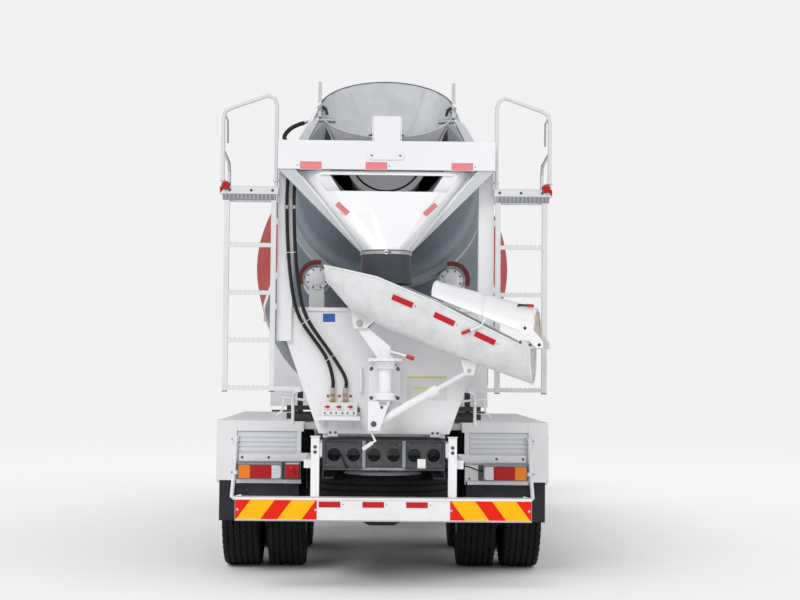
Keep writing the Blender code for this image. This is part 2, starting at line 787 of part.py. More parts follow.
def mud_flap(side):
    """Black rubber hung behind the guard's lower edge."""
    flap = block(span(side, FENDER_IN + 0.010, FENDER_OUT - 0.020),
                 (FENDER_REAR - 0.0103, FENDER_REAR - SEAT_GAP), (0.420, 0.720))
    finish(flap, f"mud_flap_{name_side(side)}", RUBBER_GREY)


# columns: inner and outer edge of each lens, from the middle of the truck
LENS_FIELDS = ((0.764, 0.834), (0.838, 0.990), (0.994, 1.080))


def tail_lamp(side):
    """Lamp cluster on its plate; the left one also carries the square lamp."""
    rear = FENDER_REAR - SEAT_GAP
    inner = FENDER_IN + 0.005 if side < 0 else FENDER_IN + 0.060
    plate = block(span(side, inner, 1.100), (rear - 0.010, rear), (0.7303, 0.850))
    cluster = block(span(side, 0.760, 1.085), (rear - 0.055, rear - 0.008), (0.735, 0.845))
    pieces = [cluster]
    for low, high in LENS_FIELDS:
        pieces.append(block(span(side, low, high), (rear - 0.065, rear - 0.050), (0.742, 0.838)))
    if side < 0:
        pieces.append(rod((-0.680, rear - 0.050, 0.795), (-0.680, rear - 0.065, 0.795), 0.040, 0.032, 16))
        pieces.append(block(span(side, 0.625, 0.735), (rear - 0.055, rear - 0.008),
                            (0.740, 0.850)))
    finish(fuse(plate, *pieces), f"tail_lamp_{name_side(side)}", LAMP_RED)


def rear_bumper():
    """Underrun bar with its two posts and the arms to the rails."""
    bar = block((-BUMPER_HALF, BUMPER_HALF), (BUMPER_Y, BUMPER_Y + 0.060),
                (BUMPER_BOTTOM, BUMPER_TOP))
    pieces = []
    for side in (-1, 1):
        pieces.append(block(span(side, POST_IN, POST_OUT), (BUMPER_Y + 0.050, BUMPER_Y + 0.110),
                            (BUMPER_BOTTOM + 0.020, 1.090)))
        pieces.append(block(span(side, RAIL_OUT + SEAT_GAP, POST_IN + 0.020),
                            (BUMPER_Y + 0.070, BUMPER_Y + 0.400), (0.950, 1.050)))
    finish(fuse(bar, *pieces), "rear_bumper", WHITE)


def rear_crossmember():
    """Closing plate of the frame: three framed panels, each with two round holes."""
    rear = RAIL_REAR - SEAT_GAP
    plate = block((-0.425, 0.425), (rear - 0.010, rear), (0.860, 1.075))
    ribs = [block((x - 0.007, x + 0.007), (rear - 0.030, rear - 0.002), (0.860, 1.075))
            for x in (-0.418, -0.140, 0.140, 0.418)]
    edges = [block((-0.425, 0.425), (rear - 0.030, rear - 0.002), (z, z + 0.014))
             for z in (0.860, 1.061)]
    holes = [rod((x + turn, rear - 0.050, 0.965), (x + turn, rear + 0.050, 0.965), 0.048, sides=10)
             for x in (-0.280, 0.0, 0.280) for turn in (-0.068, 0.068)]
    finish(cut(fuse(plate, *ribs, *edges), *holes), "rear_crossmember", CHASSIS_BLACK)


def spare_wheel():
    """Spare wheel lying flat under the rear overhang."""
    centre = Vector((0, SPARE_Y, SPARE_Z))
    finish(single_wheel(centre, (0, 0, -1)), "spare_wheel", TYRE_BLACK)


def spare_carrier():
    """Crossbar between the rails, with the stem and plate that hold the spare."""
    hub_top = SPARE_Z + FRONT_HUB_FACE + SEAT_GAP
    bar_half = RAIL_OUT - RAIL_WALL / 2
    bar = block((-bar_half, bar_half), (SPARE_Y - 0.040, SPARE_Y + 0.040), (0.880, 0.940))
    stem = rod((0, SPARE_Y, hub_top + 0.010), (0, SPARE_Y, 0.900), 0.025)
    plate = rod((0, SPARE_Y, hub_top), (0, SPARE_Y, hub_top + 0.020), 0.120, sides=16)
    return [bar, stem, plate]


# Tower, platforms and ladders

def tower():
    """Rear pedestal of bent plates, two columns and the roller brackets."""
    base = SUBFRAME_TOP + SEAT_GAP
    outline = [
        (-TOWER_BOTTOM_HALF, TOWER_SKIRT_Z), (TOWER_BOTTOM_HALF, TOWER_SKIRT_Z),
        (TOWER_TOP_HALF, TOWER_TOP - 0.160), (TOWER_TOP_HALF + 0.040, TOWER_TOP),
        (-TOWER_TOP_HALF - 0.040, TOWER_TOP), (-TOWER_TOP_HALF, TOWER_TOP - 0.160)]
    plate = prism(outline, PLATE_REAR, PLATE_REAR + TOWER_PLATE, "Y")
    pieces = []
    for side in (-1, 1):
        slant = [
            (side * TOWER_BOTTOM_HALF, base),
            (side * (TOWER_BOTTOM_HALF - 0.020), base),
            (side * (TOWER_TOP_HALF - 0.040), TOWER_TOP - 0.050),
            (side * (TOWER_TOP_HALF - 0.020), TOWER_TOP - 0.050)]
        pieces.append(prism(slant, PLATE_REAR + 0.004, TOWER_FRONT, "Y"))
        pieces.append(block(span(side, COLUMN_IN, COLUMN_OUT),
                            (COLUMN_REAR, COLUMN_REAR + COLUMN_DEPTH),
                            (1.760, BEAM_BOTTOM - SEAT_GAP)))
        pieces.append(roller_bracket(side))
    foot = block((-TOWER_BOTTOM_HALF + 0.010, TOWER_BOTTOM_HALF - 0.010),
                 (TOWER_FRONT - 0.160, TOWER_FRONT - 0.010), (base, base + 0.300))
    shelf = block((-TOWER_TOP_HALF + 0.060, TOWER_TOP_HALF - 0.060),
                  (RING_Y - 0.440, RING_Y + 0.020), (TOWER_TOP - 0.240, TOWER_TOP - 0.200))
    folds = [block(span(side, FOLD_IN, TOWER_TOP_HALF + 0.038),
                   (PLATE_REAR - 0.012, PLATE_REAR + 0.004), (TOWER_TOP - 0.016, TOWER_TOP - 0.002))
             for side in (-1, 1)]
    ledge = block((VALVE_LOW_X - 0.030, VALVE_HIGH_X + 0.020), (PLATE_REAR - 0.084, PLATE_REAR + 0.004),
                  (VALVE_LOW_Z - SEAT_GAP - 0.020, VALVE_LOW_Z - SEAT_GAP))
    grip = tube([(HANDLE_X, PLATE_REAR + 0.006, 1.400), (HANDLE_X, PLATE_REAR - 0.034, 1.410),
                 (HANDLE_X, PLATE_REAR - 0.034, 1.560), (HANDLE_X, PLATE_REAR + 0.006, 1.570)], 0.008)
    finish(fuse(plate, *pieces, foot, shelf, *folds, ledge, grip), "rear_tower", WHITE)


def roller_centre(side):
    reach = RING_RADIUS + ROLLER_RADIUS + ROLLER_GAP
    return drum_point(0.0, -reach * math.cos(ROLLER_ANGLE), side * reach * math.sin(ROLLER_ANGLE))


def roller_bracket(side):
    """Two ears that carry one support roller, on a block above the tower's shelf."""
    centre = roller_centre(side)
    reach = ROLLER_HALF + RUNNING_GAP
    ears = []
    for sign in (-1, 1):
        start = centre + DRUM_AXIS * sign * reach
        ears.append(rod(start, start + DRUM_AXIS * sign * 0.030, 0.060))
        down = -DRUM_UP * (start.z - TOWER_TOP + 0.230) / math.cos(DRUM_TILT)
        middle = start + DRUM_AXIS * sign * 0.015
        ears.append(loft([plate_ring(middle), plate_ring(middle + down)]))
    return fuse(ears[0], *ears[1:])


def plate_ring(centre):
    """The cross-section of a roller ear, square to the drum's up direction."""
    return [centre + Vector((turn * 0.058, 0, 0)) + DRUM_AXIS * along * 0.015
            for turn, along in ((-1, -1), (1, -1), (1, 1), (-1, 1))]


def roller(side):
    name = name_side(side)
    body = f"roller_{name}"
    centre = roller_centre(side)
    pivot(body, centre)
    half = ROLLER_HALF
    pin = half + RUNNING_GAP - SEAT_GAP
    profile = [
        (0.0, pin), (ROLLER_PIN, pin), (ROLLER_PIN, half), (ROLLER_RADIUS, half),
        (ROLLER_RADIUS, -half), (ROLLER_PIN, -half), (ROLLER_PIN, -pin), (0.0, -pin)]
    finish(turned(profile, centre, DRUM_AXIS, 12), f"support_roller_{name}", STEEL, body)


def upper_beam():
    """Box beam across the columns, with the upright plate in its middle."""
    beam = block((-COLUMN_OUT, COLUMN_OUT), (BEAM_REAR, BEAM_REAR + BEAM_DEPTH),
                 (BEAM_BOTTOM, BEAM_TOP))
    notch = block((-HOPPER_NOTCH, HOPPER_NOTCH), (BEAM_REAR + 0.120, BEAM_REAR + BEAM_DEPTH + 0.05),
                  (BEAM_BOTTOM - 0.050, BEAM_TOP + 0.050))
    pocket = block((-COLUMN_OUT + 0.012, COLUMN_OUT - 0.012),
                   (BEAM_REAR + 0.012, BEAM_REAR + 0.108), (BEAM_BOTTOM - 0.050, BEAM_TOP - 0.012))
    plate = block((-0.095, 0.095), (BEAM_REAR + 0.002, BEAM_REAR + 0.012),
                  (BEAM_TOP - 0.020, 3.335))
    finish(fuse(cut(beam, notch, pocket), plate), "upper_beam", WHITE)


def ladder(side):
    """Two uprights, the rungs, the platform frame with its grid, and the brackets."""
    half = LADDER_TUBE / 2
    y = (LADDER_Y - half, LADDER_Y + half)
    pieces = []
    for x in (LADDER_IN, LADDER_OUT):
        pieces.append(block(span(side, x - half, x + half), y, (LADDER_FOOT - half, PLATFORM_Z + 0.01)))
    for rung in range(RUNG_COUNT):
        z = LADDER_FOOT + rung * RUNG_PITCH
        inner = RUNG_FOOT_IN if rung == 0 else LADDER_IN
        pieces.append(block(span(side, inner, LADDER_OUT + half - 0.004),
                            (y[0] + 0.004, y[1] - 0.004), (z - 0.014, z + 0.014)))
    platform_front = LADDER_Y - half + PLATFORM_DEPTH
    deck = block(span(side, COLUMN_OUT + SEAT_GAP, PLATFORM_OUT),
                 (LADDER_Y - half - 0.002, platform_front),
                 (PLATFORM_Z, PLATFORM_Z + PLATFORM_THICK))
    windows = [
        block(span(side, COLUMN_OUT + 0.030, PLATFORM_OUT - 0.030),
              (LADDER_Y + 0.030 + step * GRID_PITCH, LADDER_Y + 0.030 + step * GRID_PITCH + GRID_SLOT),
              (PLATFORM_Z - 0.020, PLATFORM_Z + PLATFORM_THICK + 0.020))
        for step in range(GRID_COUNT)]
    deck = cut(deck, *windows)
    strip = block(span(side, COLUMN_OUT + 0.010, PLATFORM_OUT - 0.020), (y[0] + 0.002, y[0] + 0.010),
                  (PLATFORM_Z - 0.045, PLATFORM_Z + 0.005))
    slots = [block(span(side, COLUMN_OUT + x, COLUMN_OUT + x + 0.024), (y[0] - 0.010, y[0] + 0.020),
                   (PLATFORM_Z - 0.034, PLATFORM_Z - 0.010))
             for x in (0.070, 0.112, 0.154, 0.196, 0.238, 0.280)]
    deck = fuse(deck, cut(strip, *slots))
    lamp = rod((side * 1.128, y[0] + 0.004, PLATFORM_Z + 0.056),
               (side * 1.128, y[0] - 0.026, PLATFORM_Z + 0.056), 0.034, 0.024, sides=16)
    deck = fuse(deck, lamp)
    clamps = [
        block(span(side, COLUMN_OUT + SEAT_GAP, LADDER_IN), (y[0] + 0.006, COLUMN_REAR + 0.030),
              (z - 0.020, z + 0.020))
        for z in (2.000, 2.600)]
    finish(fuse(deck, *pieces, *clamps, *hoop(side)), f"ladder_{name_side(side)}", WHITE)


GRID_PITCH = 0.125
GRID_SLOT = 0.095
GRID_COUNT = 4
RUNG_FOOT_IN = 0.590


def hoop(side):
    """Bent tube guard rail round the platform's rear and outer side."""
    foot = PLATFORM_Z + PLATFORM_THICK - 0.020
    y = LADDER_Y + 0.002
    inner = side * (COLUMN_OUT + 0.017)
    outer = side * (PLATFORM_OUT - 0.017)
    corner = side * 0.060
    route = [
        (inner, y, foot), (inner, y, HOOP_INNER_Z - 0.070), (inner + corner * 0.3, y, HOOP_INNER_Z - 0.020),
        (inner + corner, y, HOOP_INNER_Z), (outer - corner, y, HOOP_OUTER_Z),
        (outer - corner * 0.25, y, HOOP_OUTER_Z - 0.025), (outer, y, HOOP_OUTER_Z - 0.080), (outer, y, foot)]
    main = tube(route, 0.014)
    far = y + PLATFORM_DEPTH - 0.060
    back = tube([
        (outer, y, HOOP_OUTER_Z - 0.300), (outer, y + 0.200, HOOP_OUTER_Z - 0.310),
        (outer, far - 0.060, HOOP_OUTER_Z - 0.330), (outer, far, HOOP_OUTER_Z - 0.390),
        (outer, far, foot)], 0.013)
    return [main, back]


# Hoppers

def rectangle(x, y, z, half_x, half_y):
    """The corners of a level rectangle about a point."""
    return [Vector((x + turn_x * half_x, y + turn_y * half_y, z))
            for turn_x, turn_y in ((-1, -1), (1, -1), (1, 1), (-1, 1))]


def ring_points(centre, half_x, half_other, tilt, count):
    """An ellipse whose second radius leans from +Y up by the tilt."""
    lean = Vector((0, math.cos(tilt), math.sin(tilt)))
    return [
        Vector(centre) + Vector((half_x * math.cos(angle), 0, 0)) + lean * half_other * math.sin(angle)
        for angle in (2 * math.pi * step / count for step in range(count))]


def charging_hopper():
    """Bucket with a leaning rim that narrows into the feed pipe, with ears and arms."""
    count = 20
    rim = Vector((0, (RIM_REAR_Y + RIM_FRONT_Y) / 2, (RIM_REAR_Z + RIM_FRONT_Z) / 2))
    lean = math.atan2(RIM_FRONT_Z - RIM_REAR_Z, RIM_FRONT_Y - RIM_REAR_Y)
    half = math.hypot(RIM_FRONT_Z - RIM_REAR_Z, RIM_FRONT_Y - RIM_REAR_Y) / 2
    slope = math.atan2(PIPE_FRONT_Z - PIPE_REAR_Z, PIPE_FRONT_Y - PIPE_REAR_Y)
    throat = Vector((0, PIPE_REAR_Y, PIPE_REAR_Z))
    outlet = Vector((0, PIPE_FRONT_Y, PIPE_FRONT_Z))
    sections = [
        ring_points(rim, RIM_HALF, half, lean, count),
        ring_points(rim.lerp(throat, 0.55), RIM_HALF * 0.78, half * 0.80, lean + 0.25, count),
        ring_points(throat, PIPE_RADIUS, PIPE_RADIUS, math.pi / 2 + slope, count),
        ring_points(outlet, PIPE_RADIUS, PIPE_RADIUS, math.pi / 2 + slope, count)]
    bucket = shell(loft(sections, capped=False), PIPE_WALL)
    foot_y = BEAM_REAR + BEAM_DEPTH - 0.050
    for side in (-1, 1):
        arm = loft([
            rectangle(side * 0.475, -3.600, 3.430, 0.022, 0.032),
            rectangle(side * 0.605, foot_y, BEAM_TOP + SEAT_GAP, 0.034, 0.032)])
        ear = prism([(-3.692, 3.372), (-3.557, 3.372), (-3.601, 3.640)],
                    *sorted((side * 0.471, side * 0.495)))
        bucket = fuse(bucket, fuse(arm, ear))
    finish(bucket, "charging_hopper", LIGHT_GREY)


def discharge_hopper():
    """Four-sided spout under the drum's mouth, its slanted channels and round outlet."""
    count = 16
    top = BEAM_BOTTOM - 0.004
    rear_top = BEAM_REAR + 0.030
    spout = []
    for step in range(count):
        angle = 2 * math.pi * (step + 0.5) / count
        x = max(-1.0, min(1.0, 1.42 * math.cos(angle)))
        y = max(-1.0, min(1.0, 1.42 * math.sin(angle)))
        middle = (rear_top + SPOUT_FRONT_Y) / 2
        depth = (SPOUT_FRONT_Y - rear_top) / 2
        spout.append(Vector((x * SPOUT_TOP_HALF, middle + y * depth, top)))
    outlet = [
        Vector((OUTLET_RADIUS * math.cos(angle), OUTLET_Y + OUTLET_RADIUS * math.sin(angle), OUTLET_Z))
        for angle in (2 * math.pi * (step + 0.5) / count for step in range(count))]
    neck = [point - Vector((0, 0, 0.060)) for point in outlet]
    body = shell(loft([spout, outlet, neck], capped=False), 0.008)
    swing = rod(drum_point(MOUTH_T - 0.300), drum_point(0.0), MOUTH_RADIUS + 0.030,
                SEAT_RADIUS + 0.080, 24)
    body = cut(body, swing)
    window = prism([(-0.420, 2.800), (0.420, 2.800), (0.500, 2.920), (-0.500, 2.920)],
                   rear_top - 0.200, rear_top + 0.120, "Y")
    body = cut(body, window)
    channels = [
        prism([
            (side * 0.755, BEAM_BOTTOM - SEAT_GAP), (side * 0.640, BEAM_BOTTOM - SEAT_GAP),
            (side * 0.110, OUTLET_Z + 0.015), (side * 0.180, OUTLET_Z - 0.015)],
            BEAM_REAR + 0.010, BEAM_REAR + 0.070, "Y")
        for side in (-1, 1)]
    finish(fuse(body, *channels), "discharge_hopper", WHITE)


def outlet_skirt():
    """Rubber sleeve hung round the discharge outlet."""
    inner = OUTLET_RADIUS + 0.005
    profile = [
        (inner, OUTLET_Z - 0.020), (inner + SKIRT_WALL, OUTLET_Z - 0.020),
        (SKIRT_RADIUS + 0.012, SKIRT_BOTTOM), (SKIRT_RADIUS + 0.012 - SKIRT_WALL, SKIRT_BOTTOM)]
    ring = turned(profile, (0, OUTLET_Y, 0), (0, 0, 1), 16, closed=True)
    finish(ring, "outlet_skirt", RUBBER_GREY)


# Drum

def drum():
    pivot("drum", drum_point(0.0))
    # columns: distance along the axis from the ring, radius
    outer = [
        (MOUTH_T, MOUTH_RADIUS), (-RING_HALF, SEAT_RADIUS), (-RING_HALF, RING_RADIUS),
        (RING_HALF, RING_RADIUS), (RING_HALF, SEAT_RADIUS),
        (BELLY_START_T, BELLY_RADIUS), (BELLY_END_T, BELLY_RADIUS), (NOSE_T, NOSE_RADIUS),
        (NOSE_T + 0.110, NOSE_RADIUS * 0.72), (NOSE_T + 0.160, DRUM_FLANGE_RADIUS),
        (DRUM_END_T, DRUM_FLANGE_RADIUS)]
    profile = [(radius, along) for along, radius in outer]
    inner = [(radius - DRUM_WALL, along) for along, radius in outer if radius not in FLAT_RADII]
    inner.append((NOSE_RADIUS * 0.72 - DRUM_WALL, NOSE_T + 0.090))
    inner.append((0.0, NOSE_T + 0.140))
    profile = [(0.0, DRUM_END_T), *reversed(profile), *inner]
    body = turned(profile, drum_point(0.0), DRUM_AXIS, DRUM_SIDES)
    finish(body, "drum_shell", SLATE, "drum")


GEARBOX_RADIUS = 0.240
FLAT_RADII = (RING_RADIUS, NOSE_RADIUS * 0.72, DRUM_FLANGE_RADIUS)


def drum_drive():
    """Reduction gearbox and hydraulic motor on the drum's axis, on the front pedestal."""
    start = DRUM_END_T + SEAT_GAP
    profile = [
        (0.0, start), (0.200, start), (0.200, start + 0.050), (GEARBOX_RADIUS, start + 0.060),
        (GEARBOX_RADIUS, start + 0.260), (0.170, start + 0.300), (0.100, start + 0.340),
        (0.090, start + 0.500), (0.0, start + 0.500)]
    finish(turned(profile, drum_point(0.0), DRUM_AXIS, 16), "drum_gearbox", CHASSIS_BLACK)

    base = SUBFRAME_TOP + SEAT_GAP
    y = (2.200, 2.420)
    cross = block((-0.640, 0.640), (2.150, 2.450), (base, base + 0.100))
    legs = prism([
        (-0.420, base + 0.050), (0.420, base + 0.050), (0.300, 1.900), (-0.300, 1.900)],
        *y, "Y")
    hollow = prism([(-0.250, base + 0.140), (0.250, base + 0.140), (0.160, 1.560), (-0.160, 1.560)],
                   y[0] - 0.100, y[1] + 0.100, "Y")
    bore = rod(drum_point(start - 0.200), drum_point(start + 0.700),
               GEARBOX_RADIUS + SEAT_GAP, sides=16)
    stand = cut(legs, hollow, bore)
    posts = [block(span(side, 0.560, 0.620), (2.340, 2.420), (base + 0.050, TANK_Z - 0.100))
             for side in (-1, 1)]
    tank_bore = rod((-1.0, TANK_Y, TANK_Z), (1.0, TANK_Y, TANK_Z), TANK_RADIUS + SEAT_GAP, sides=16)
    rest = cut(fuse(cross, *posts), tank_bore)
    finish(fuse(rest, stand), "front_pedestal", WHITE)
    tank = turned([
        (0.0, 0.780), (0.140, 0.770), (TANK_RADIUS, 0.700), (TANK_RADIUS, -0.700),
        (0.140, -0.770), (0.0, -0.780)], (0, TANK_Y, TANK_Z), (1, 0, 0), 16)
    finish(tank, "water_tank", WHITE)


TANK_Y = 2.400
TANK_Z = 2.640
TANK_RADIUS = 0.230


# Chute

# columns: distance along, half width, height of the rim, height of the floor
CHUTE_SECTIONS = (
    (-0.400, 0.150, 2.270, 2.150),
    (-0.240, 0.260, 2.235, 1.970),
    (0.000, 0.290, 2.180, 1.850),
    (0.400, 0.235, 2.010, 1.690),
    (1.020, 0.205, 1.700, 1.475),
)
EXTENSION_SECTIONS = (
    (0.360, 0.215, 2.060, 2.170),
    (1.050, 0.240, 1.790, 1.985),
)
TROUGH_STEPS = 6
TROUGH_WALL = 0.005


def trough(sections):
    """A half-round trough skinned through the sections, with a wall."""
    rings = []
    for along, half, rim, floor in sections:
        ring = []
        for step in range(TROUGH_STEPS + 1):
            angle = math.pi * step / TROUGH_STEPS
            ring.append(chute_point(along, half * math.cos(angle), rim + (floor - rim) * math.sin(angle)))
        rings.append(ring)
    return shell(loft(rings, closed=False, capped=False), TROUGH_WALL)


def chute_plate(outline, across, thick):
    """A flat plate standing along the chute, from (along, height) points."""
    near = [chute_point(along, across - thick / 2, height) for along, height in outline]
    far = [chute_point(along, across + thick / 2, height) for along, height in outline]
    return loft([near, far])


def chute_pin(along, height, half, radius, sides=12):
    centre = chute_point(along, 0, height)
    return rod(centre - CHUTE_SIDE * half, centre + CHUTE_SIDE * half, radius, sides=sides)


def swivel():
    """The upright that turns in the tower's bearing and carries pin, disc and jack foot."""
    pivot("chute_swivel", (0, SWIVEL_Y, BEARING_TOP))
    post = rod((0, SWIVEL_Y, JACK_FOOT_Z + 0.130), (0, SWIVEL_Y, 1.700), POST_RADIUS, sides=16)
    disc = rod((0, SWIVEL_Y, BEARING_TOP + SEAT_GAP), (0, SWIVEL_Y, BEARING_TOP + 0.020), 0.120, sides=24)
    notches = [rod((0.120 * math.cos(angle), SWIVEL_Y + 0.120 * math.sin(angle), BEARING_TOP - 0.010),
                   (0.120 * math.cos(angle), SWIVEL_Y + 0.120 * math.sin(angle), BEARING_TOP + 0.030),
                   0.007, sides=8)
               for angle in (2 * math.pi * step / NOTCH_COUNT for step in range(NOTCH_COUNT))]
    disc = cut(disc, *notches)
    lever = tube([chute_point(0.030, -0.010, 1.690), chute_point(0.120, -0.030, 1.668),
                  chute_point(0.205, -0.040, 1.640)], 0.008)
    grip = rod(chute_point(0.160, -0.035, 1.655), chute_point(0.207, -0.041, 1.639), 0.013, sides=10)
    arm = chute_plate([
        (0.040, 1.630), (-0.040, 1.630), (-0.205, 1.860), (-0.195, 1.910),
        (-0.145, 1.910), (-0.130, 1.860), (0.040, 1.720)], 0.0, 0.050)
    hole = chute_pin(TILT_PIN_U, TILT_PIN_Z, 0.2, TILT_PIN_RADIUS + SEAT_GAP, 24)
    forks = [
        chute_plate([
            (JACK_FOOT_U - 0.040, JACK_FOOT_Z - 0.045), (JACK_FOOT_U + 0.040, JACK_FOOT_Z - 0.045),
            (JACK_FOOT_U + 0.110, JACK_FOOT_Z + 0.155), (JACK_FOOT_U - 0.040, JACK_FOOT_Z + 0.155)],
            sign * 0.044, 0.012)
        for sign in (-1, 1)]
    bridge = chute_plate([
        (JACK_FOOT_U - 0.039, JACK_FOOT_Z + 0.125), (JACK_FOOT_U + 0.100, JACK_FOOT_Z + 0.125),
        (JACK_FOOT_U + 0.109, JACK_FOOT_Z + 0.154), (JACK_FOOT_U - 0.039, JACK_FOOT_Z + 0.154)], 0.0, 0.090)
    post = fuse(post, disc, cut(arm, hole), *forks, bridge, lever, grip)
    finish(post, "swivel_post", WHITE, "chute_swivel")

    rear = PLATE_REAR - SEAT_GAP
    housing = block((-0.110, 0.110), (rear - 0.120, rear), (BEARING_LOW, BEARING_TOP - 0.030))
    ears = []
    for low in (BEARING_LOW + 0.010, BEARING_TOP - 0.050):
        ears.append(block((-0.060, 0.060), (SWIVEL_Y, rear - 0.090), (low, low + 0.050)))
        ears.append(rod((0, SWIVEL_Y, low), (0, SWIVEL_Y, low + 0.050), 0.070, sides=16))
    bore = rod((0, SWIVEL_Y, 1.0), (0, SWIVEL_Y, 2.0), POST_RADIUS + 0.001, sides=16)
    finish(cut(fuse(housing, *ears), bore), "swivel_bearing", WHITE)


def chute():
    pivot("chute", chute_point(TILT_PIN_U, 0, TILT_PIN_Z), "chute_swivel")
    body = trough(CHUTE_SECTIONS)
    lugs = []
    for sign in (-1, 1):
        lugs.append(chute_plate([
            (-0.215, TILT_PIN_Z - 0.035), (-0.125, TILT_PIN_Z - 0.035), (-0.060, 1.905),
            (-0.235, 1.990)], sign * 0.042, 0.012))
        lugs.append(chute_plate([
            (JACK_EYE_U - 0.030, JACK_EYE_Z - 0.030), (JACK_EYE_U + 0.030, JACK_EYE_Z - 0.030),
            (JACK_EYE_U + 0.060, 1.620), (JACK_EYE_U - 0.060, 1.640)], sign * 0.030, 0.010))
    pin = chute_pin(TILT_PIN_U, TILT_PIN_Z, 0.050, TILT_PIN_RADIUS, 24)
    eye_pin = chute_pin(JACK_EYE_U, JACK_EYE_Z, 0.036, 0.010)
    fold_ears = [
        chute_plate([
            (FOLD_U - 0.030, FOLD_Z - 0.020), (FOLD_U + 0.020, FOLD_Z - 0.020),
            (FOLD_U + 0.020, FOLD_Z + 0.020), (FOLD_U - 0.030, FOLD_Z + 0.020),
            (0.940, 1.760), (0.940, 1.700)], sign * 0.197, 0.012)
        for sign in (-1, 1)]
    finish(fuse(body, *lugs, pin, eye_pin, *fold_ears), "chute_trough", LIGHT_GREY, "chute")


def extension():
    """Short trough folded back over the chute, hinged at the chute's lower end."""
    pivot("chute_extension", chute_point(FOLD_U, 0, FOLD_Z), "chute")
    body = trough(EXTENSION_SECTIONS)
    ears = []
    for sign in (-1, 1):
        ears.append(chute_plate([
            (FOLD_U - 0.020, FOLD_Z - 0.022), (FOLD_U + 0.024, FOLD_Z - 0.022),
            (FOLD_U + 0.024, FOLD_Z + 0.022), (1.040, 1.840), (0.960, 1.880), (0.960, 1.820)],
            sign * 0.232, 0.012))
        centre = chute_point(FOLD_U, sign * 0.2185, FOLD_Z)
        ears.append(rod(centre - CHUTE_SIDE * 0.0152, centre + CHUTE_SIDE * 0.0152, 0.012))
    finish(fuse(body, *ears), "chute_extension", WHITE, "chute_extension")


def jack():
    """Screw jack: a tube hinged at the swivel's foot, and the screw with its eye."""
    foot = chute_point(JACK_FOOT_U, 0, JACK_FOOT_Z)
    eye = chute_point(JACK_EYE_U, 0, JACK_EYE_Z)
    along = (eye - foot).normalized()
    length = (eye - foot).length
    pivot("jack_tube", foot, "chute_swivel")
    pivot("jack_rod", eye, "jack_tube")
    tube_end = length * 0.66
    profile = [
        (0.0, -0.030), (JACK_RADIUS, -0.030), (JACK_RADIUS, tube_end),
        (SCREW_RADIUS + 0.001, tube_end), (SCREW_RADIUS + 0.001, 0.090), (0.0, 0.090)]
    barrel = turned(profile, foot, along, 12)
    trunnion = chute_pin(JACK_FOOT_U, JACK_FOOT_Z, 0.038 - SEAT_GAP, 0.016)
    elbow = foot - along * 0.050
    knee = elbow + CHUTE_ALONG * 0.045 - Vector((0, 0, 0.092))
    handle = knee - CHUTE_ALONG * 0.085 - Vector((0, 0, 0.058))
    crank = tube([foot - along * 0.020, elbow, knee, handle], CRANK_RADIUS)
    grip = rod(knee.lerp(handle, 0.25), handle, CRANK_RADIUS * 1.4)
    finish(fuse(barrel, trunnion, crank, grip), "jack_tube", WHITE, "jack_tube")
    screw = rod(foot + along * (length * 0.30), eye - along * 0.010, SCREW_RADIUS)
    knob = rod(eye - CHUTE_SIDE * 0.018, eye + CHUTE_SIDE * 0.018, 0.030, sides=16)
    hole = rod(eye - CHUTE_SIDE * 0.1, eye + CHUTE_SIDE * 0.1, 0.018)
    finish(cut(fuse(screw, knob), hole), "jack_screw", STEEL, "jack_rod")


# Controls

def valve_block():
    """Hydraulic valves with three levers, on the left of the tower plate."""
    rear = PLATE_REAR - SEAT_GAP
    body = block((VALVE_LOW_X, VALVE_HIGH_X), (rear - 0.070, rear), (VALVE_LOW_Z, VALVE_HIGH_Z))
    levers = [tube([(x, rear - 0.050, 1.320), (x, rear - 0.080, 1.370)], 0.009)
              for x in (-0.395, -0.315, -0.235)]
    finish(fuse(body, *levers), "control_valves", WHITE)


def hoses():
    """Two hydraulic hoses down the tower from the beam's left end to the valves."""
    rear = PLATE_REAR
    for name, x_end, shift in (("hose_left", -0.365, 0.0), ("hose_right", -0.275, 0.050)):
        anchors = [
            (-0.700 + shift, rear - 0.060, 2.700), (-0.690 + shift, rear - 0.065, 2.450),
            (-0.660 + shift, rear - 0.060, 2.150), (-0.600 + shift, rear - 0.055, 1.920),
            (-0.420 + shift, rear - 0.050, 1.660), (x_end, rear - 0.040, 1.500),
            (x_end, rear - 0.040, 1.400), (x_end, rear - 0.040, 1.330 + SEAT_GAP)]
        finish(tube(smooth_route(anchors, 4), 0.013), name, RUBBER_GREY)


def smooth_route(anchors, steps):
    """Points of a smooth curve through the anchors."""
    points = [Vector(point) for point in anchors]
    route = []
    for index in range(len(points) - 1):
        before = points[max(index - 1, 0)]
        start = points[index]
        end = points[index + 1]
        after = points[min(index + 2, len(points) - 1)]
        for step in range(steps):
            t = step / steps
            route.append(0.5 * (
                2 * start + (end - before) * t
                + (2 * before - 5 * start + 4 * end - after) * t * t
                + (3 * start - before - 3 * end + after) * t * t * t))
    route.append(points[-1])
    return route


# Cab

# columns: y, z of the cab's side profile, without its lower edge
CAB_LINE = (
    (CAB_REAR, CAB_FLOOR), (CAB_REAR, CAB_ROOF - 0.180), (CAB_REAR + 0.090, CAB_ROOF - 0.050),
    (CAB_REAR + 0.300, CAB_ROOF), (CAB_FRONT - 0.560, CAB_ROOF), (CAB_FRONT - 0.340, CAB_ROOF - 0.110),
    (CAB_FRONT - 0.040, 1.950), (CAB_FRONT, 1.450), (CAB_FRONT, CAB_FLOOR))
DOOR_LINE = (
    (3.320, 1.210), (4.180, 1.210), (4.180, 1.950), (3.960, 2.600), (3.880, 2.640), (3.320, 2.640))
WINDOW_LINE = ((3.400, 1.920), (4.090, 1.920), (3.900, 2.540), (3.400, 2.560))


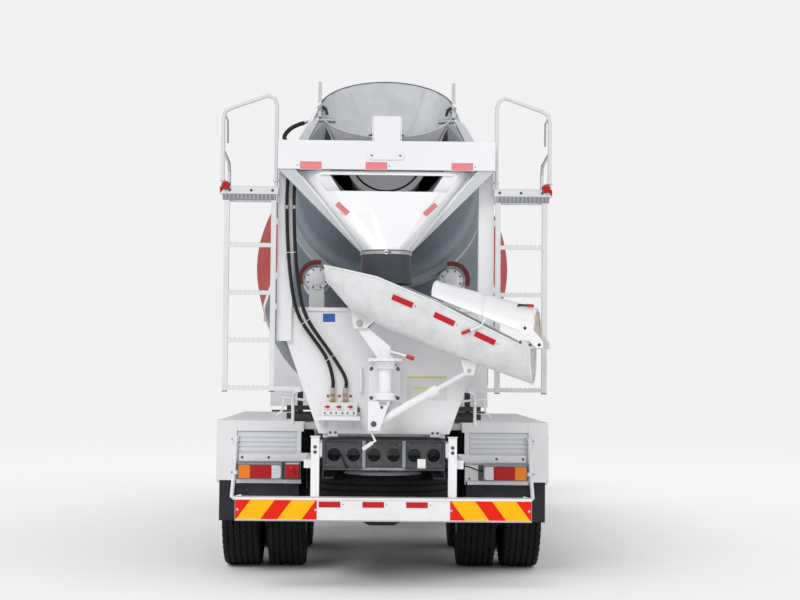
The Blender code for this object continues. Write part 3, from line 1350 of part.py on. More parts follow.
def closed_offset(points, distance):
    """Shift a closed outline: a positive distance goes outward on a clockwise one."""
    vectors = [Vector(point) for point in points]
    moved = []
    for index, point in enumerate(vectors):
        before = (point - vectors[index - 1]).normalized()
        after = (vectors[(index + 1) % len(vectors)] - point).normalized()
        normal = Vector((-before.y - after.y, before.x + after.x)).normalized()
        scale = normal.dot(Vector((-before.y, before.x)))
        moved.append(tuple(point + normal * distance / scale))
    return moved


def hinge_leaf(side, z, direction):
    """Half of a door hinge: a barrel on the pin line and a leaf along the skin."""
    levels = (z, z + HINGE_HEIGHT)
    barrel = rod((side * DOOR_HINGE_X, DOOR_HINGE_Y, levels[0]),
                 (side * DOOR_HINGE_X, DOOR_HINGE_Y, levels[1]), 0.011)
    reach = DOOR_HINGE_Y + direction * 0.090
    leaf = block(span(side, CAB_HALF + 0.001, DOOR_HINGE_X + 0.004),
                 sorted((DOOR_HINGE_Y, reach)), levels)
    pad = block(span(side, CAB_HALF - 0.010, CAB_HALF + 0.004),
                sorted((DOOR_HINGE_Y + direction * 0.020, reach)), levels)
    return fuse(barrel, leaf, pad)


HINGE_LEVELS = (1.320, 1.780)
HINGE_HEIGHT = 0.060


def screen_y(z):
    """Where the sloping front of the cab stands at a height."""
    (low_y, low_z), (high_y, high_z) = CAB_LINE[6], CAB_LINE[5]
    return low_y + (high_y - low_y) * (z - low_z) / (high_z - low_z)


SCREEN_LEVELS = (1.990, 2.680)
SCREEN_HALF = 1.050
GRILLE_HALF = 0.640
GRILLE_LOW = 1.200
GRILLE_HIGH = 1.425
GRILLE_BARS = 5
GRILLE_BAR = 0.016
GRILLE_PITCH = (GRILLE_HIGH - GRILLE_LOW - GRILLE_BAR) / (GRILLE_BARS + 1)


def cab():
    pivot("cab", (0, CAB_PIVOT_Y, CAB_PIVOT_Z))
    outer = prism(list(CAB_LINE), -CAB_HALF, CAB_HALF)
    inner = prism(closed_offset(CAB_LINE, -CAB_WALL), -CAB_HALF + CAB_WALL, CAB_HALF - CAB_WALL)
    body = cut(outer, inner)
    openings = [
        prism(closed_offset(DOOR_LINE, -RUNNING_GAP),
              *span(side, CAB_HALF - 0.100, CAB_HALF + 0.100))
        for side in (-1, 1)]
    low, high = SCREEN_LEVELS
    screen = prism([(CAB_FRONT + 0.100, low), (screen_y(low) - 0.200, low),
                    (screen_y(high) - 0.200, high), (CAB_FRONT + 0.100, high)],
                   -SCREEN_HALF, SCREEN_HALF)
    pit = block((-GRILLE_HALF, GRILLE_HALF), (CAB_FRONT - 0.022, CAB_FRONT + 0.050),
                (GRILLE_LOW, GRILLE_HIGH))
    bars = []
    for step in range(1, GRILLE_BARS + 1):
        low = GRILLE_LOW + GRILLE_PITCH * step
        bars.append(block((-GRILLE_HALF - 0.004, GRILLE_HALF + 0.004),
                          (CAB_FRONT - 0.026, CAB_FRONT - 0.004), (low, low + GRILLE_BAR)))
    body = fuse(cut(body, *openings, screen, pit), *bars)
    lugs = [block(span(side, 0.240, 0.310), (CAB_PIVOT_Y - 0.050, CAB_PIVOT_Y + 0.050),
                  (CAB_PIVOT_Z - 0.045, CAB_FLOOR + 0.010)) for side in (-1, 1)]
    leaves = [hinge_leaf(side, z + HINGE_HEIGHT + SEAT_GAP, 1) for side in (-1, 1) for z in HINGE_LEVELS]
    body = fuse(body, *lugs, *leaves)
    bore = rod((-1, CAB_PIVOT_Y, CAB_PIVOT_Z), (1, CAB_PIVOT_Y, CAB_PIVOT_Z), 0.030)
    finish(cut(body, bore), "cab_shell", WHITE, "cab")

    glass = []
    for z in (SCREEN_LEVELS[0] + SEAT_GAP, SCREEN_LEVELS[1] - SEAT_GAP):
        face = screen_y(z) - 0.012
        glass.append([(face, z), (face - 0.012, z)])
    outline = glass[0] + glass[1][::-1]
    finish(prism(outline, -SCREEN_HALF + SEAT_GAP, SCREEN_HALF - SEAT_GAP), "windscreen", GLASS, "cab")

    floor = CAB_FLOOR + CAB_WALL + SEAT_GAP
    wall = CAB_FRONT - CAB_WALL - SEAT_GAP
    face = [(4.000, 1.600), (4.150, 1.400), (wall, 1.400), (wall, 1.450),
            (wall - 0.060, 1.880), (4.060, 1.880)]
    inside = CAB_HALF - CAB_WALL - RUNNING_GAP
    finish(fuse(prism(face, -inside, inside), *steering_wheel()), "dashboard", TRIM, "cab")
    for side in (-1, 1):
        seat = prism([
            (2.900, floor), (3.350, floor), (3.400, 1.560), (3.420, 1.640), (3.060, 1.640),
            (2.950, 2.300), (2.860, 2.300), (2.860, 1.560)], *span(side, 0.420, 0.900))
        finish(seat, f"seat_{name_side(side)}", TRIM, "cab")


def steering_wheel():
    """Rim, spokes and column of the steering wheel, on the left."""
    hub = Vector((-0.660, 3.900, 1.930))
    tilt = Vector((0, -0.45, 1.0)).normalized()
    wheel = turned([
        (0.200, 0.012), (0.224, 0.012), (0.224, -0.012), (0.200, -0.012)], hub, tilt, 16, closed=True)
    spokes = rod(hub - Vector((0.205, 0, 0)), hub + Vector((0.205, 0, 0)), 0.012, sides=8)
    column = rod(hub + tilt * 0.010, Vector((-0.660, 4.080, 1.680)), 0.022, sides=8)
    return [column, spokes, wheel]


def door(side):
    name = name_side(side)
    body = f"door_{name}"
    pivot(body, (side * DOOR_HINGE_X, DOOR_HINGE_Y, 1.210), "cab")
    panel = prism(list(DOOR_LINE), *span(side, CAB_HALF - CAB_WALL, CAB_HALF))
    hole = prism(list(WINDOW_LINE), *span(side, CAB_HALF - 0.100, CAB_HALF + 0.100))
    leaves = [hinge_leaf(side, z, -1) for z in HINGE_LEVELS]
    finish(fuse(cut(panel, hole), *leaves, *mirror(side)), f"door_{name}", WHITE, body)
    inset = closed_offset(WINDOW_LINE, SEAT_GAP)
    finish(prism(inset, *span(side, CAB_HALF - 0.026, CAB_HALF - 0.018)),
           f"door_glass_{name}", GLASS, body)


def mirror(side):
    """Mirror head on a bent arm from the door's front edge."""
    arm_y = 4.120
    arm = tube([(side * (CAB_HALF - 0.010), arm_y, 2.050), (side * 1.300, arm_y + 0.020, 2.100),
                (side * 1.330, arm_y + 0.020, 2.160)], 0.010)
    head = block(span(side, 1.255, 1.400), (arm_y - 0.005, arm_y + 0.055), (2.130, 2.480))
    return [arm, head]


def cab_carriers():
    """Front pivot tube on arms from the rail ends, and the rear rests."""
    bar = rod((-RAIL_OUT, CAB_PIVOT_Y, CAB_PIVOT_Z), (RAIL_OUT, CAB_PIVOT_Y, CAB_PIVOT_Z), 0.028)
    arms = [block(span(side, RAIL_OUT - RAIL_FLANGE + 0.010, RAIL_OUT - 0.002),
                  (RAIL_FRONT - 0.050, CAB_PIVOT_Y + 0.040), (0.900, CAB_PIVOT_Z + 0.010))
            for side in (-1, 1)]
    tops = [block(span(side, RAIL_OUT - RAIL_FLANGE + 0.010, RAIL_OUT - 0.002), (2.740, 2.840),
                  (RAIL_TOP - 0.004, CAB_FLOOR - SEAT_GAP)) for side in (-1, 1)]
    bridge = block((-RAIL_OUT + 0.01, RAIL_OUT - 0.01), (2.760, 2.820), (1.110, 1.140))
    return [*arms, bar, *tops, bridge]


def front_bumper():
    """Wrap-round bumper with steps behind its ends and brackets to the frame."""
    bar = block((-1.220, 1.220), (BUMPER_FRONT - 0.130, BUMPER_FRONT), (0.450, 0.950))
    pieces = []
    for side in (-1, 1):
        pieces.append(block(span(side, 1.170, 1.220), (4.180, BUMPER_FRONT - 0.100), (0.450, 0.950)))
        for z in (0.450, 0.800):
            pieces.append(block(span(side, 0.950, 1.200), (3.650, 4.200), (z, z + 0.050)))
        pieces.append(block(span(side, 0.930, 0.960), (3.650, BUMPER_FRONT - 0.100), (0.450, 0.850)))
        pieces.append(block(span(side, RAIL_OUT - RAIL_FLANGE, RAIL_OUT),
                            (RAIL_FRONT + SEAT_GAP, BUMPER_FRONT - 0.100), (0.810, 0.880)))
        pieces.append(block(span(side, 0.780, 1.150), (BUMPER_FRONT - 0.010, BUMPER_FRONT + 0.015),
                            (0.660, 0.800)))
    finish(fuse(bar, *pieces), "front_bumper", WHITE)


for axle_label, axle_position in zip(("middle", "rear"), REAR_AXLE_Y):
    rear_axle(f"{axle_label}_axle", axle_position)
    for wheel_side in (-1, 1):
        twin_wheel(wheel_side, axle_label, axle_position)
front_axle()
ladder_frame()
subframe()
tandem_suspension()
drive_line()
fuel_tank()
battery_box()
rear_bumper()
rear_crossmember()
spare_wheel()
tower()
upper_beam()
charging_hopper()
discharge_hopper()
outlet_skirt()
drum()
drum_drive()
swivel()
chute()
extension()
jack()
valve_block()
hoses()
cab()
front_bumper()
for hand in (-1, 1):
    front_wheel(hand)
    mudguard(hand)
    mud_flap(hand)
    tail_lamp(hand)
    roller(hand)
    ladder(hand)
    door(hand)
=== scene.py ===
"""Looks of the concrete mixer truck: materials, light, camera and the detail round the CAD frame.

Metres, in the CAD frame: +X right, +Y forward, +Z up, ground at z = 0.
"""

import json
import math
from itertools import pairwise, product

import bmesh
import bpy
from mathutils import Matrix, Vector


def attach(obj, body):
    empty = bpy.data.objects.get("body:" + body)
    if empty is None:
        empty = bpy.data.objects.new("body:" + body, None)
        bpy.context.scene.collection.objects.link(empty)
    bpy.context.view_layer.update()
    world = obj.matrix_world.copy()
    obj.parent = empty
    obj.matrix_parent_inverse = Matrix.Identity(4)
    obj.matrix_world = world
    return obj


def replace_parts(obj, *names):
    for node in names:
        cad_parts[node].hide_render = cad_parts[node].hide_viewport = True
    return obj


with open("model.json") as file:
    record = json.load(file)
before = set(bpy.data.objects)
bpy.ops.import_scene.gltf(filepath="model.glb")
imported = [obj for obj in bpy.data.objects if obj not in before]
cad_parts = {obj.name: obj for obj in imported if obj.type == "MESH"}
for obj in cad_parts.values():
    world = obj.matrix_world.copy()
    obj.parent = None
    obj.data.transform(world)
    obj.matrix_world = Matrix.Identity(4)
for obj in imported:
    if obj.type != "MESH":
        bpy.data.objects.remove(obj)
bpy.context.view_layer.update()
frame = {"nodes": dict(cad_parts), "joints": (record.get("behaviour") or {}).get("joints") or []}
NODES = frame["nodes"]
SPIN = next(joint for joint in frame["joints"] if joint["name"] == "drum_spin")
SCENE = bpy.context.scene
HANDS = {"left": -1, "right": 1}
BACK = (0, -1, 0)
AHEAD = (0, 1, 0)
UP = (0, 0, 1)
OUT = (1, 0, 0)

# Colours, linear
WHITE = (0.825, 0.825, 0.84)
WARM_WHITE = (0.82, 0.82, 0.82)
SLATE = (0.106, 0.13, 0.158)
SLATE_BAND = (0.24, 0.28, 0.32)
DRUM_RED = (0.44, 0.012, 0.003)
DUST = (0.33, 0.31, 0.28)
CEMENT = (0.42, 0.41, 0.39)


# Material helpers

def scaled(colour, factor):
    return tuple(channel * factor for channel in colour)


class Shade:
    """Builds the nodes of one material round its Principled shader."""

    def __init__(self, name):
        self.material = bpy.data.materials.new(name)
        self.material.use_nodes = True
        self.tree = self.material.node_tree
        self.shader = self.tree.nodes["Principled BSDF"]
        self.coords = self.tree.nodes.new("ShaderNodeTexCoord").outputs["Object"]

    def put(self, socket, value):
        """Set a socket to a number or colour, or link it to another output."""
        if isinstance(value, bpy.types.NodeSocket):
            self.tree.links.new(value, socket)
        elif isinstance(value, tuple) and socket.type == "RGBA":
            socket.default_value = (*value, 1.0)
        else:
            socket.default_value = value

    def node(self, kind, output=0, settings=(), inputs=(), **named):
        """Add a node; inputs are its first sockets in order, named ones go by name."""
        made = self.tree.nodes.new("ShaderNode" + kind)
        for key, value in dict(settings).items():
            setattr(made, key, value)
        for socket, value in zip(made.inputs, inputs):
            self.put(socket, value)
        for key, value in named.items():
            self.put(made.inputs[key.replace("_", " ")], value)
        return made.outputs[output]

    def noise(self, scale, detail=3.0, stretch=None, rough=0.55):
        vector = self.node("Mapping", Vector=self.coords, Scale=stretch) if stretch else self.coords
        return self.node("TexNoise", Vector=vector, Scale=scale, Detail=detail, Roughness=rough)

    def math(self, operation, *values, clamp=False):
        return self.node("Math", settings={"operation": operation, "use_clamp": clamp}, inputs=values)

    def span(self, value, low, high, start=0.0, end=1.0):
        """Map low..high to start..end, clamped."""
        return self.node("MapRange", Value=value, From_Min=low, From_Max=high, To_Min=start, To_Max=end)

    def mix(self, factor, first, second):
        made = self.tree.nodes.new("ShaderNodeMix")
        made.data_type = "RGBA"
        for place, value in ((0, factor), (6, first), (7, second)):
            self.put(made.inputs[place], value)
        return made.outputs[2]

    def along(self, direction):
        """The coordinate along a direction, from the frame's origin."""
        return self.node("VectorMath", "Value", {"operation": "DOT_PRODUCT"},
                         (self.coords, Vector(direction)))

    def finish(self, height, strength, distance, **values):
        """Set the shader's values and its bump, and give the material."""
        values["Normal"] = self.node("Bump", Strength=strength, Distance=distance, Height=height)
        for name, value in values.items():
            self.put(self.shader.inputs[name.replace("_", " ")], value)
        return self.material


def painted(name, colour, rough=0.32, dust=0.20, coat=0.20, streak=0.04, bump=0.04, shine=0.35):
    """Sprayed paint: slight mottling, faint runs down the sides, road dust low down."""
    shade = Shade(name)
    cloud = shade.noise(1.7, 4.0)
    fine = shade.noise(38.0)
    runs = shade.noise(9.0, stretch=(1.0, 1.0, 0.10))
    base = shade.mix(shade.span(cloud, 0.35, 0.70), colour, scaled(colour, 0.94))
    streaked = shade.mix(shade.span(runs, 0.52, 0.75, 0.0, streak), base, DUST)
    height = shade.span(shade.node("SeparateXYZ", "Z", inputs=(shade.coords,)), 0.25, 2.2, 1.0, 0.0)
    patchy = shade.span(shade.math("MULTIPLY", fine, cloud), 0.16, 0.42)
    amount = shade.math("MULTIPLY", shade.math("MULTIPLY", height, height), patchy)
    amount = shade.math("MULTIPLY", amount, dust, clamp=True)
    return shade.finish(
        shade.noise(160.0, 2.0), bump, 0.002, Base_Color=shade.mix(amount, streaked, DUST),
        Roughness=shade.span(shade.math("ADD", fine, amount), 0.3, 1.1, rough - 0.05, rough + 0.25),
        Coat_Weight=coat, Coat_Roughness=0.12, Specular_IOR_Level=shine)


def stained(name, colour, amount):
    """Worn paint in contact with concrete: pale splashes and scoured patches."""
    shade = Shade(name)
    blotch = shade.noise(5.5, 6.0, rough=0.65)
    scour = shade.noise(22.0, 4.0, stretch=(1.0, 1.0, 0.35))
    splash = shade.span(shade.math("MULTIPLY", blotch, scour), 0.22, 0.36)
    base = shade.mix(shade.span(blotch, 0.4, 0.7), colour, scaled(colour, 0.88))
    return shade.finish(shade.math("ADD", scour, splash), 0.12, 0.004,
                        Base_Color=shade.mix(shade.math("MULTIPLY", splash, amount), base, CEMENT),
                        Roughness=shade.span(splash, 0.0, 1.0, 0.42, 0.72))


def rubbery(name, colour, rough, dust, grain):
    shade = Shade(name)
    cloud = shade.noise(6.0, 4.0)
    return shade.finish(shade.noise(grain), 0.15, 0.002,
                        Base_Color=shade.mix(shade.span(cloud, 0.45, 0.75, 0.0, dust), colour, DUST),
                        Roughness=shade.span(cloud, 0.3, 0.7, rough - 0.08, rough + 0.1),
                        Specular_IOR_Level=0.25)


def metal(name, colour, rough, wear=0.25):
    shade = Shade(name)
    scratch = shade.noise(55.0, 4.0, stretch=(1.0, 0.15, 1.0))
    return shade.finish(
        scratch, 0.06, 0.001, Metallic=1.0,
        Base_Color=shade.mix(shade.span(scratch, 0.4, 0.75, 0.0, wear), colour, scaled(colour, 0.55)),
        Roughness=shade.span(scratch, 0.3, 0.7, rough - 0.08, rough + 0.15))


def lens(name, colour):
    """Moulded lamp or reflector plastic with a fine prism grid."""
    shade = Shade(name)
    cell = shade.node("TexVoronoi", "Distance", Scale=150.0, Vector=shade.coords)
    light = tuple(min(channel * 1.30 + 0.004, 1.0) for channel in colour)
    return shade.finish(cell, 0.25, 0.001,
                        Base_Color=shade.mix(shade.span(cell, 0.0, 0.7, 0.0, 0.6), light, colour),
                        Roughness=0.22, Coat_Weight=0.15, Coat_Roughness=0.05, Specular_IOR_Level=0.25)


def glass():
    shade = Shade("window_glass")
    values = {"Base Color": (0.35, 0.42, 0.42), "Transmission Weight": 0.75, "IOR": 1.45,
              "Roughness": shade.span(shade.noise(4.0, 4.0), 0.4, 0.8, 0.02, 0.08)}
    for name, value in values.items():
        shade.put(shade.shader.inputs[name], value)
    return shade.material


def weave(colour):
    """Woven seat cloth."""
    shade = Shade("seat_fabric")
    thread = shade.node("TexWave", "Fac", Scale=160.0, Distortion=0.6, Vector=shade.coords)
    return shade.finish(thread, 0.3, 0.001, Base_Color=shade.mix(thread, colour, scaled(colour, 1.9)),
                        Roughness=0.9, Sheen_Weight=0.3)


DRUM_AXIS = Vector(SPIN["axis"]).normalized()
RING_CENTRE = Vector(SPIN["pos_m"])
DRUM_UP = Vector((0, -DRUM_AXIS.z, DRUM_AXIS.y))

# The red field of the drum: its start and end along the axis, its height span and pale border
FIELD_FROM, FIELD_TO = 0.72, 3.60
FIELD_LOW, FIELD_HIGH = -0.46, 0.70
FIELD_BORDER = 0.035
FIELD_WAVE = 1.35


def drum_paint():
    """Slate shell with a pale edge at the ring, and a red field with pale borders along both sides."""
    shade = Shade("drum_paint")
    do = shade.math
    along = do("SUBTRACT", shade.along(DRUM_AXIS), RING_CENTRE.dot(DRUM_AXIS))
    height = do("SUBTRACT", shade.along(DRUM_UP), RING_CENTRE.dot(DRUM_UP))
    spray = shade.noise(14.0, 4.0)
    slate = shade.mix(shade.span(shade.noise(1.3, 5.0), 0.35, 0.7), SLATE, scaled(SLATE, 1.30))
    edge = do("ADD", along, do("MULTIPLY", spray, 0.02))
    colour = shade.mix(shade.span(edge, -0.26, -0.12), slate, SLATE_BAND)
    colour = shade.mix(do("GREATER_THAN", along, 0.0), colour, slate)
    red = shade.mix(shade.span(spray, 0.3, 0.8, 0.0, 0.35), DRUM_RED, scaled(DRUM_RED, 0.75))
    swell = do("MULTIPLY", do("SINE", do("MULTIPLY", along, FIELD_WAVE)), 0.10)
    inside = do("SUBTRACT", height, do("ADD", swell, FIELD_LOW))
    for room in (do("SUBTRACT", do("ADD", swell, FIELD_HIGH), height), do("SUBTRACT", along, FIELD_FROM),
                 do("SUBTRACT", FIELD_TO, along)):
        inside = do("MINIMUM", inside, room)
    colour = shade.mix(do("GREATER_THAN", inside, 0.0), colour, WARM_WHITE)
    colour = shade.mix(do("GREATER_THAN", inside, FIELD_BORDER), colour, red)
    splash = shade.span(do("MULTIPLY", spray, shade.noise(3.1, 6.0)), 0.30, 0.46, 0.0, 0.35)
    return shade.finish(shade.noise(60.0), 0.04, 0.003, Base_Color=shade.mix(splash, colour, CEMENT),
                        Roughness=shade.span(splash, 0.0, 0.5, 0.34, 0.7), Specular_IOR_Level=0.07)


PAINT = painted("white_paint", WHITE)
PAINT_HIGH = painted("white_paint_high", WHITE, dust=0.15, streak=0.03)
GREY_PAINT = stained("hopper_paint", (0.50, 0.515, 0.535), 0.20)
CHUTE_PAINT = stained("chute_paint", (0.76, 0.765, 0.775), 0.15)
DRUM = drum_paint()
BLACK = painted("chassis_paint", (0.030, 0.032, 0.037), rough=0.5, dust=0.55, coat=0.1)
FRAME_PAINT = painted("crossmember_paint", (0.045, 0.049, 0.057), rough=0.5, dust=0.30, coat=0.1)
TYRE = rubbery("tyre_rubber", (0.007, 0.007, 0.008), 0.82, 0.03, 60.0)
FLAP_RUBBER = rubbery("flap_rubber", (0.022, 0.025, 0.031), 0.75, 0.06, 40.0)
SKIRT_RUBBER = rubbery("skirt_rubber", (0.050, 0.055, 0.066), 0.38, 0.05, 30.0)
HOSE = rubbery("hose_rubber", (0.012, 0.012, 0.013), 0.45, 0.04, 200.0)
TRIM = rubbery("cab_trim", (0.050, 0.050, 0.055), 0.6, 0.02, 220.0)
# Painted shade: the ladders' paint is greyer than the white so that the rails read as shaded; the dust is
# real
LADDER_PAINTED_SHADE = painted("ladder_paint", (0.69, 0.70, 0.715), dust=0.25)
STEEL = metal("bare_steel", (0.55, 0.55, 0.56), 0.32)
DARK_STEEL = metal("dark_steel", (0.16, 0.16, 0.17), 0.45)
ALUMINIUM = metal("tank_aluminium", (0.66, 0.67, 0.68), 0.30)
BRASS_METAL = metal("brass_fitting", (0.48, 0.33, 0.11), 0.30)
GALVANISED = metal("galvanised_steel", (0.45, 0.46, 0.48), 0.48)
MIRROR_GLASS = metal("mirror_glass", (0.80, 0.81, 0.82), 0.10, 0.05)
CAST = painted("cast_iron_paint", (0.060, 0.062, 0.066), rough=0.6, dust=0.5, coat=0.0, bump=0.3)
RED_LENS = lens("lamp_red", (0.42, 0.002, 0.007))
PALE_LENS = lens("lamp_pale_red", (0.64, 0.20, 0.215))
AMBER_LENS = lens("lamp_amber", (0.76, 0.20, 0.002))
CLEAR_LENS = lens("lamp_clear", (0.62, 0.64, 0.66))
GUARD = painted("roller_guard_red", (0.19, 0.025, 0.025), rough=0.5, coat=0.1)
GLASS = glass()
SEAT_CLOTH = weave((0.035, 0.037, 0.045))
RIM = painted("rim_paint", (0.300, 0.302, 0.310), rough=0.42, dust=0.6, coat=0.1)
# Painted shade: black for the inside of openings, drawn on flat pieces where the holes would be
PAINTED_SHADE_BLACK = painted("opening_painted_shade_black", (0.008, 0.008, 0.009), rough=0.8, dust=0.0, coat=0.0)
PLATE_WHITE = painted("plate_white", (0.80, 0.80, 0.80), dust=0.05, streak=0.02)
# Grey for the bolts, and for the bumper's bottom lip as a painted shadow line
BUMPER_GREY_AND_SHADOW = painted("bumper_grey_and_painted_shadow", (0.56, 0.57, 0.59), dust=0.25)
STRIPE_RED = painted("chevron_red", (0.76, 0.012, 0.002), dust=0.03, streak=0.0, coat=0.05, shine=0.15)
STRIPE_YELLOW = painted("chevron_yellow", (0.93, 0.47, 0.0), dust=0.03, streak=0.0, coat=0.05, shine=0.15)
RIBBED = painted("ribbed_panel", (0.72, 0.745, 0.78), dust=0.05)
PALE_FRAME = painted("frame_pale", (0.27, 0.29, 0.32), dust=0.30)
DARK_PAINT = painted("dark_paint", (0.020, 0.020, 0.022), rough=0.45, dust=0.15)
HANDLE_RED = painted("handle_red", (0.48, 0.014, 0.016), rough=0.35, dust=0.05)
BLUE_PLATE = painted("plate_blue", (0.03, 0.12, 0.40), dust=0.05, streak=0.02)
YELLOW_PLATE = painted("plate_yellow", (0.78, 0.68, 0.16), dust=0.05, streak=0.02)
PLATE_GREY = painted("plate_grey", (0.70, 0.71, 0.72), dust=0.05, streak=0.02)
LIP_YELLOW = painted("lip_yellow", (0.74, 0.64, 0.34), dust=0.10)
HOPPER_DARK = painted("hopper_lip", (0.15, 0.16, 0.17), rough=0.6, dust=0.10, coat=0.0)
RING_PAINT = painted("roller_ring", (0.29, 0.32, 0.345), rough=0.40, dust=0.1, coat=0.0)
# Painted shade: dark grey for the shaded opening under the beam
PAINTED_SHADE_GREY = painted("opening_painted_shade_grey", (0.045, 0.050, 0.060), rough=0.7, dust=0.0, coat=0.0)
LAMP_GREY = painted("lamp_housing", (0.30, 0.31, 0.32), rough=0.35, dust=0.05)
GRATING_GREY = painted("grating_grey", (0.23, 0.24, 0.25), rough=0.5, dust=0.10, coat=0.0)
# Painted shade: a greyer white for the shaded outer strips of the discharge hopper's arms
SHADED_GREY = painted("arm_painted_shade_grey", (0.56, 0.575, 0.59), dust=0.10)

# CAD nodes by material and by the radius of their rounded edges; a star stands for left and right
NODE_MATERIALS = (
    (PAINT, "cab_shell door_* front_bumper front_pedestal subframe water_tank control_valves"),
    (PAINT_HIGH, "chute_extension discharge_hopper jack_screw jack_tube mudguard_* rear_bumper rear_tower "
                 "swivel_bearing swivel_post upper_beam"),
    (BLACK, "battery_box_and_guard front_axle gearbox_and_prop_shaft knuckle_* ladder_frame middle_axle "
            "rear_axle tandem_suspension"),
    (GREY_PAINT, "charging_hopper"), (CHUTE_PAINT, "chute_trough"), (TRIM, "dashboard"),
    (GLASS, "door_glass_* windscreen"), (CAST, "drum_gearbox engine"), (DRUM, "drum_shell"),
    (ALUMINIUM, "fuel_tank_and_guard"), (HOSE, "hose_*"), (LADDER_PAINTED_SHADE, "ladder_*"),
    (FLAP_RUBBER, "mud_flap_*"), (SKIRT_RUBBER, "outlet_skirt"), (FRAME_PAINT, "rear_crossmember"),
    (SEAT_CLOTH, "seat_*"), (TYRE, "spare_wheel wheel_front_* wheel_middle_* wheel_rear_*"),
    (STEEL, "support_roller_*"), (DARK_STEEL, "tail_lamp_*"),
)
ROUNDED = (
    (0.0012, "chute_trough chute_extension"), (0.0015, "charging_hopper jack_screw"),
    (0.002, "discharge_hopper rear_crossmember ladder_frame tandem_suspension jack_tube"),
    (0.003, "mudguard_* rear_tower swivel_post tail_lamp_* subframe knuckle_* mud_flap_* outlet_skirt "
            "support_roller_*"),
    (0.004, "swivel_bearing control_valves ladder_* rear_axle middle_axle front_axle door_* front_pedestal "
            "fuel_tank_and_guard drum_gearbox gearbox_and_prop_shaft"),
    (0.005, "upper_beam"), (0.006, "rear_bumper battery_box_and_guard"), (0.010, "dashboard water_tank"),
    (0.012, "cab_shell engine"), (0.014, "front_bumper"),
)


def listed(table):
    """The value and each of its nodes, from rows of a value and node names."""
    for value, words in table:
        for word in words.split():
            for hand in HANDS if "*" in word else ("",):
                yield value, NODES[word.replace("*", hand)]


for node_material, thing in listed(NODE_MATERIALS):
    thing.data.materials.clear()
    thing.data.materials.append(node_material)


# Shapes

def turn_to(axis):
    """A rotation that takes +Z to the axis."""
    return Vector(UP).rotation_difference(Vector(axis).normalized()).to_matrix()


def fan(steps, sweep=2 * math.pi, first=0.0):
    """Angles at even steps over a sweep, both ends included."""
    return [first + sweep * step / steps for step in range(steps + 1)]


def polar(radius, angle, along=0.0):
    return Vector((radius * math.cos(angle), radius * math.sin(angle), along))


def flat(y, *spots):
    """Points (x, z) in the plane at y."""
    return [(x, y, z) for x, z in spots]


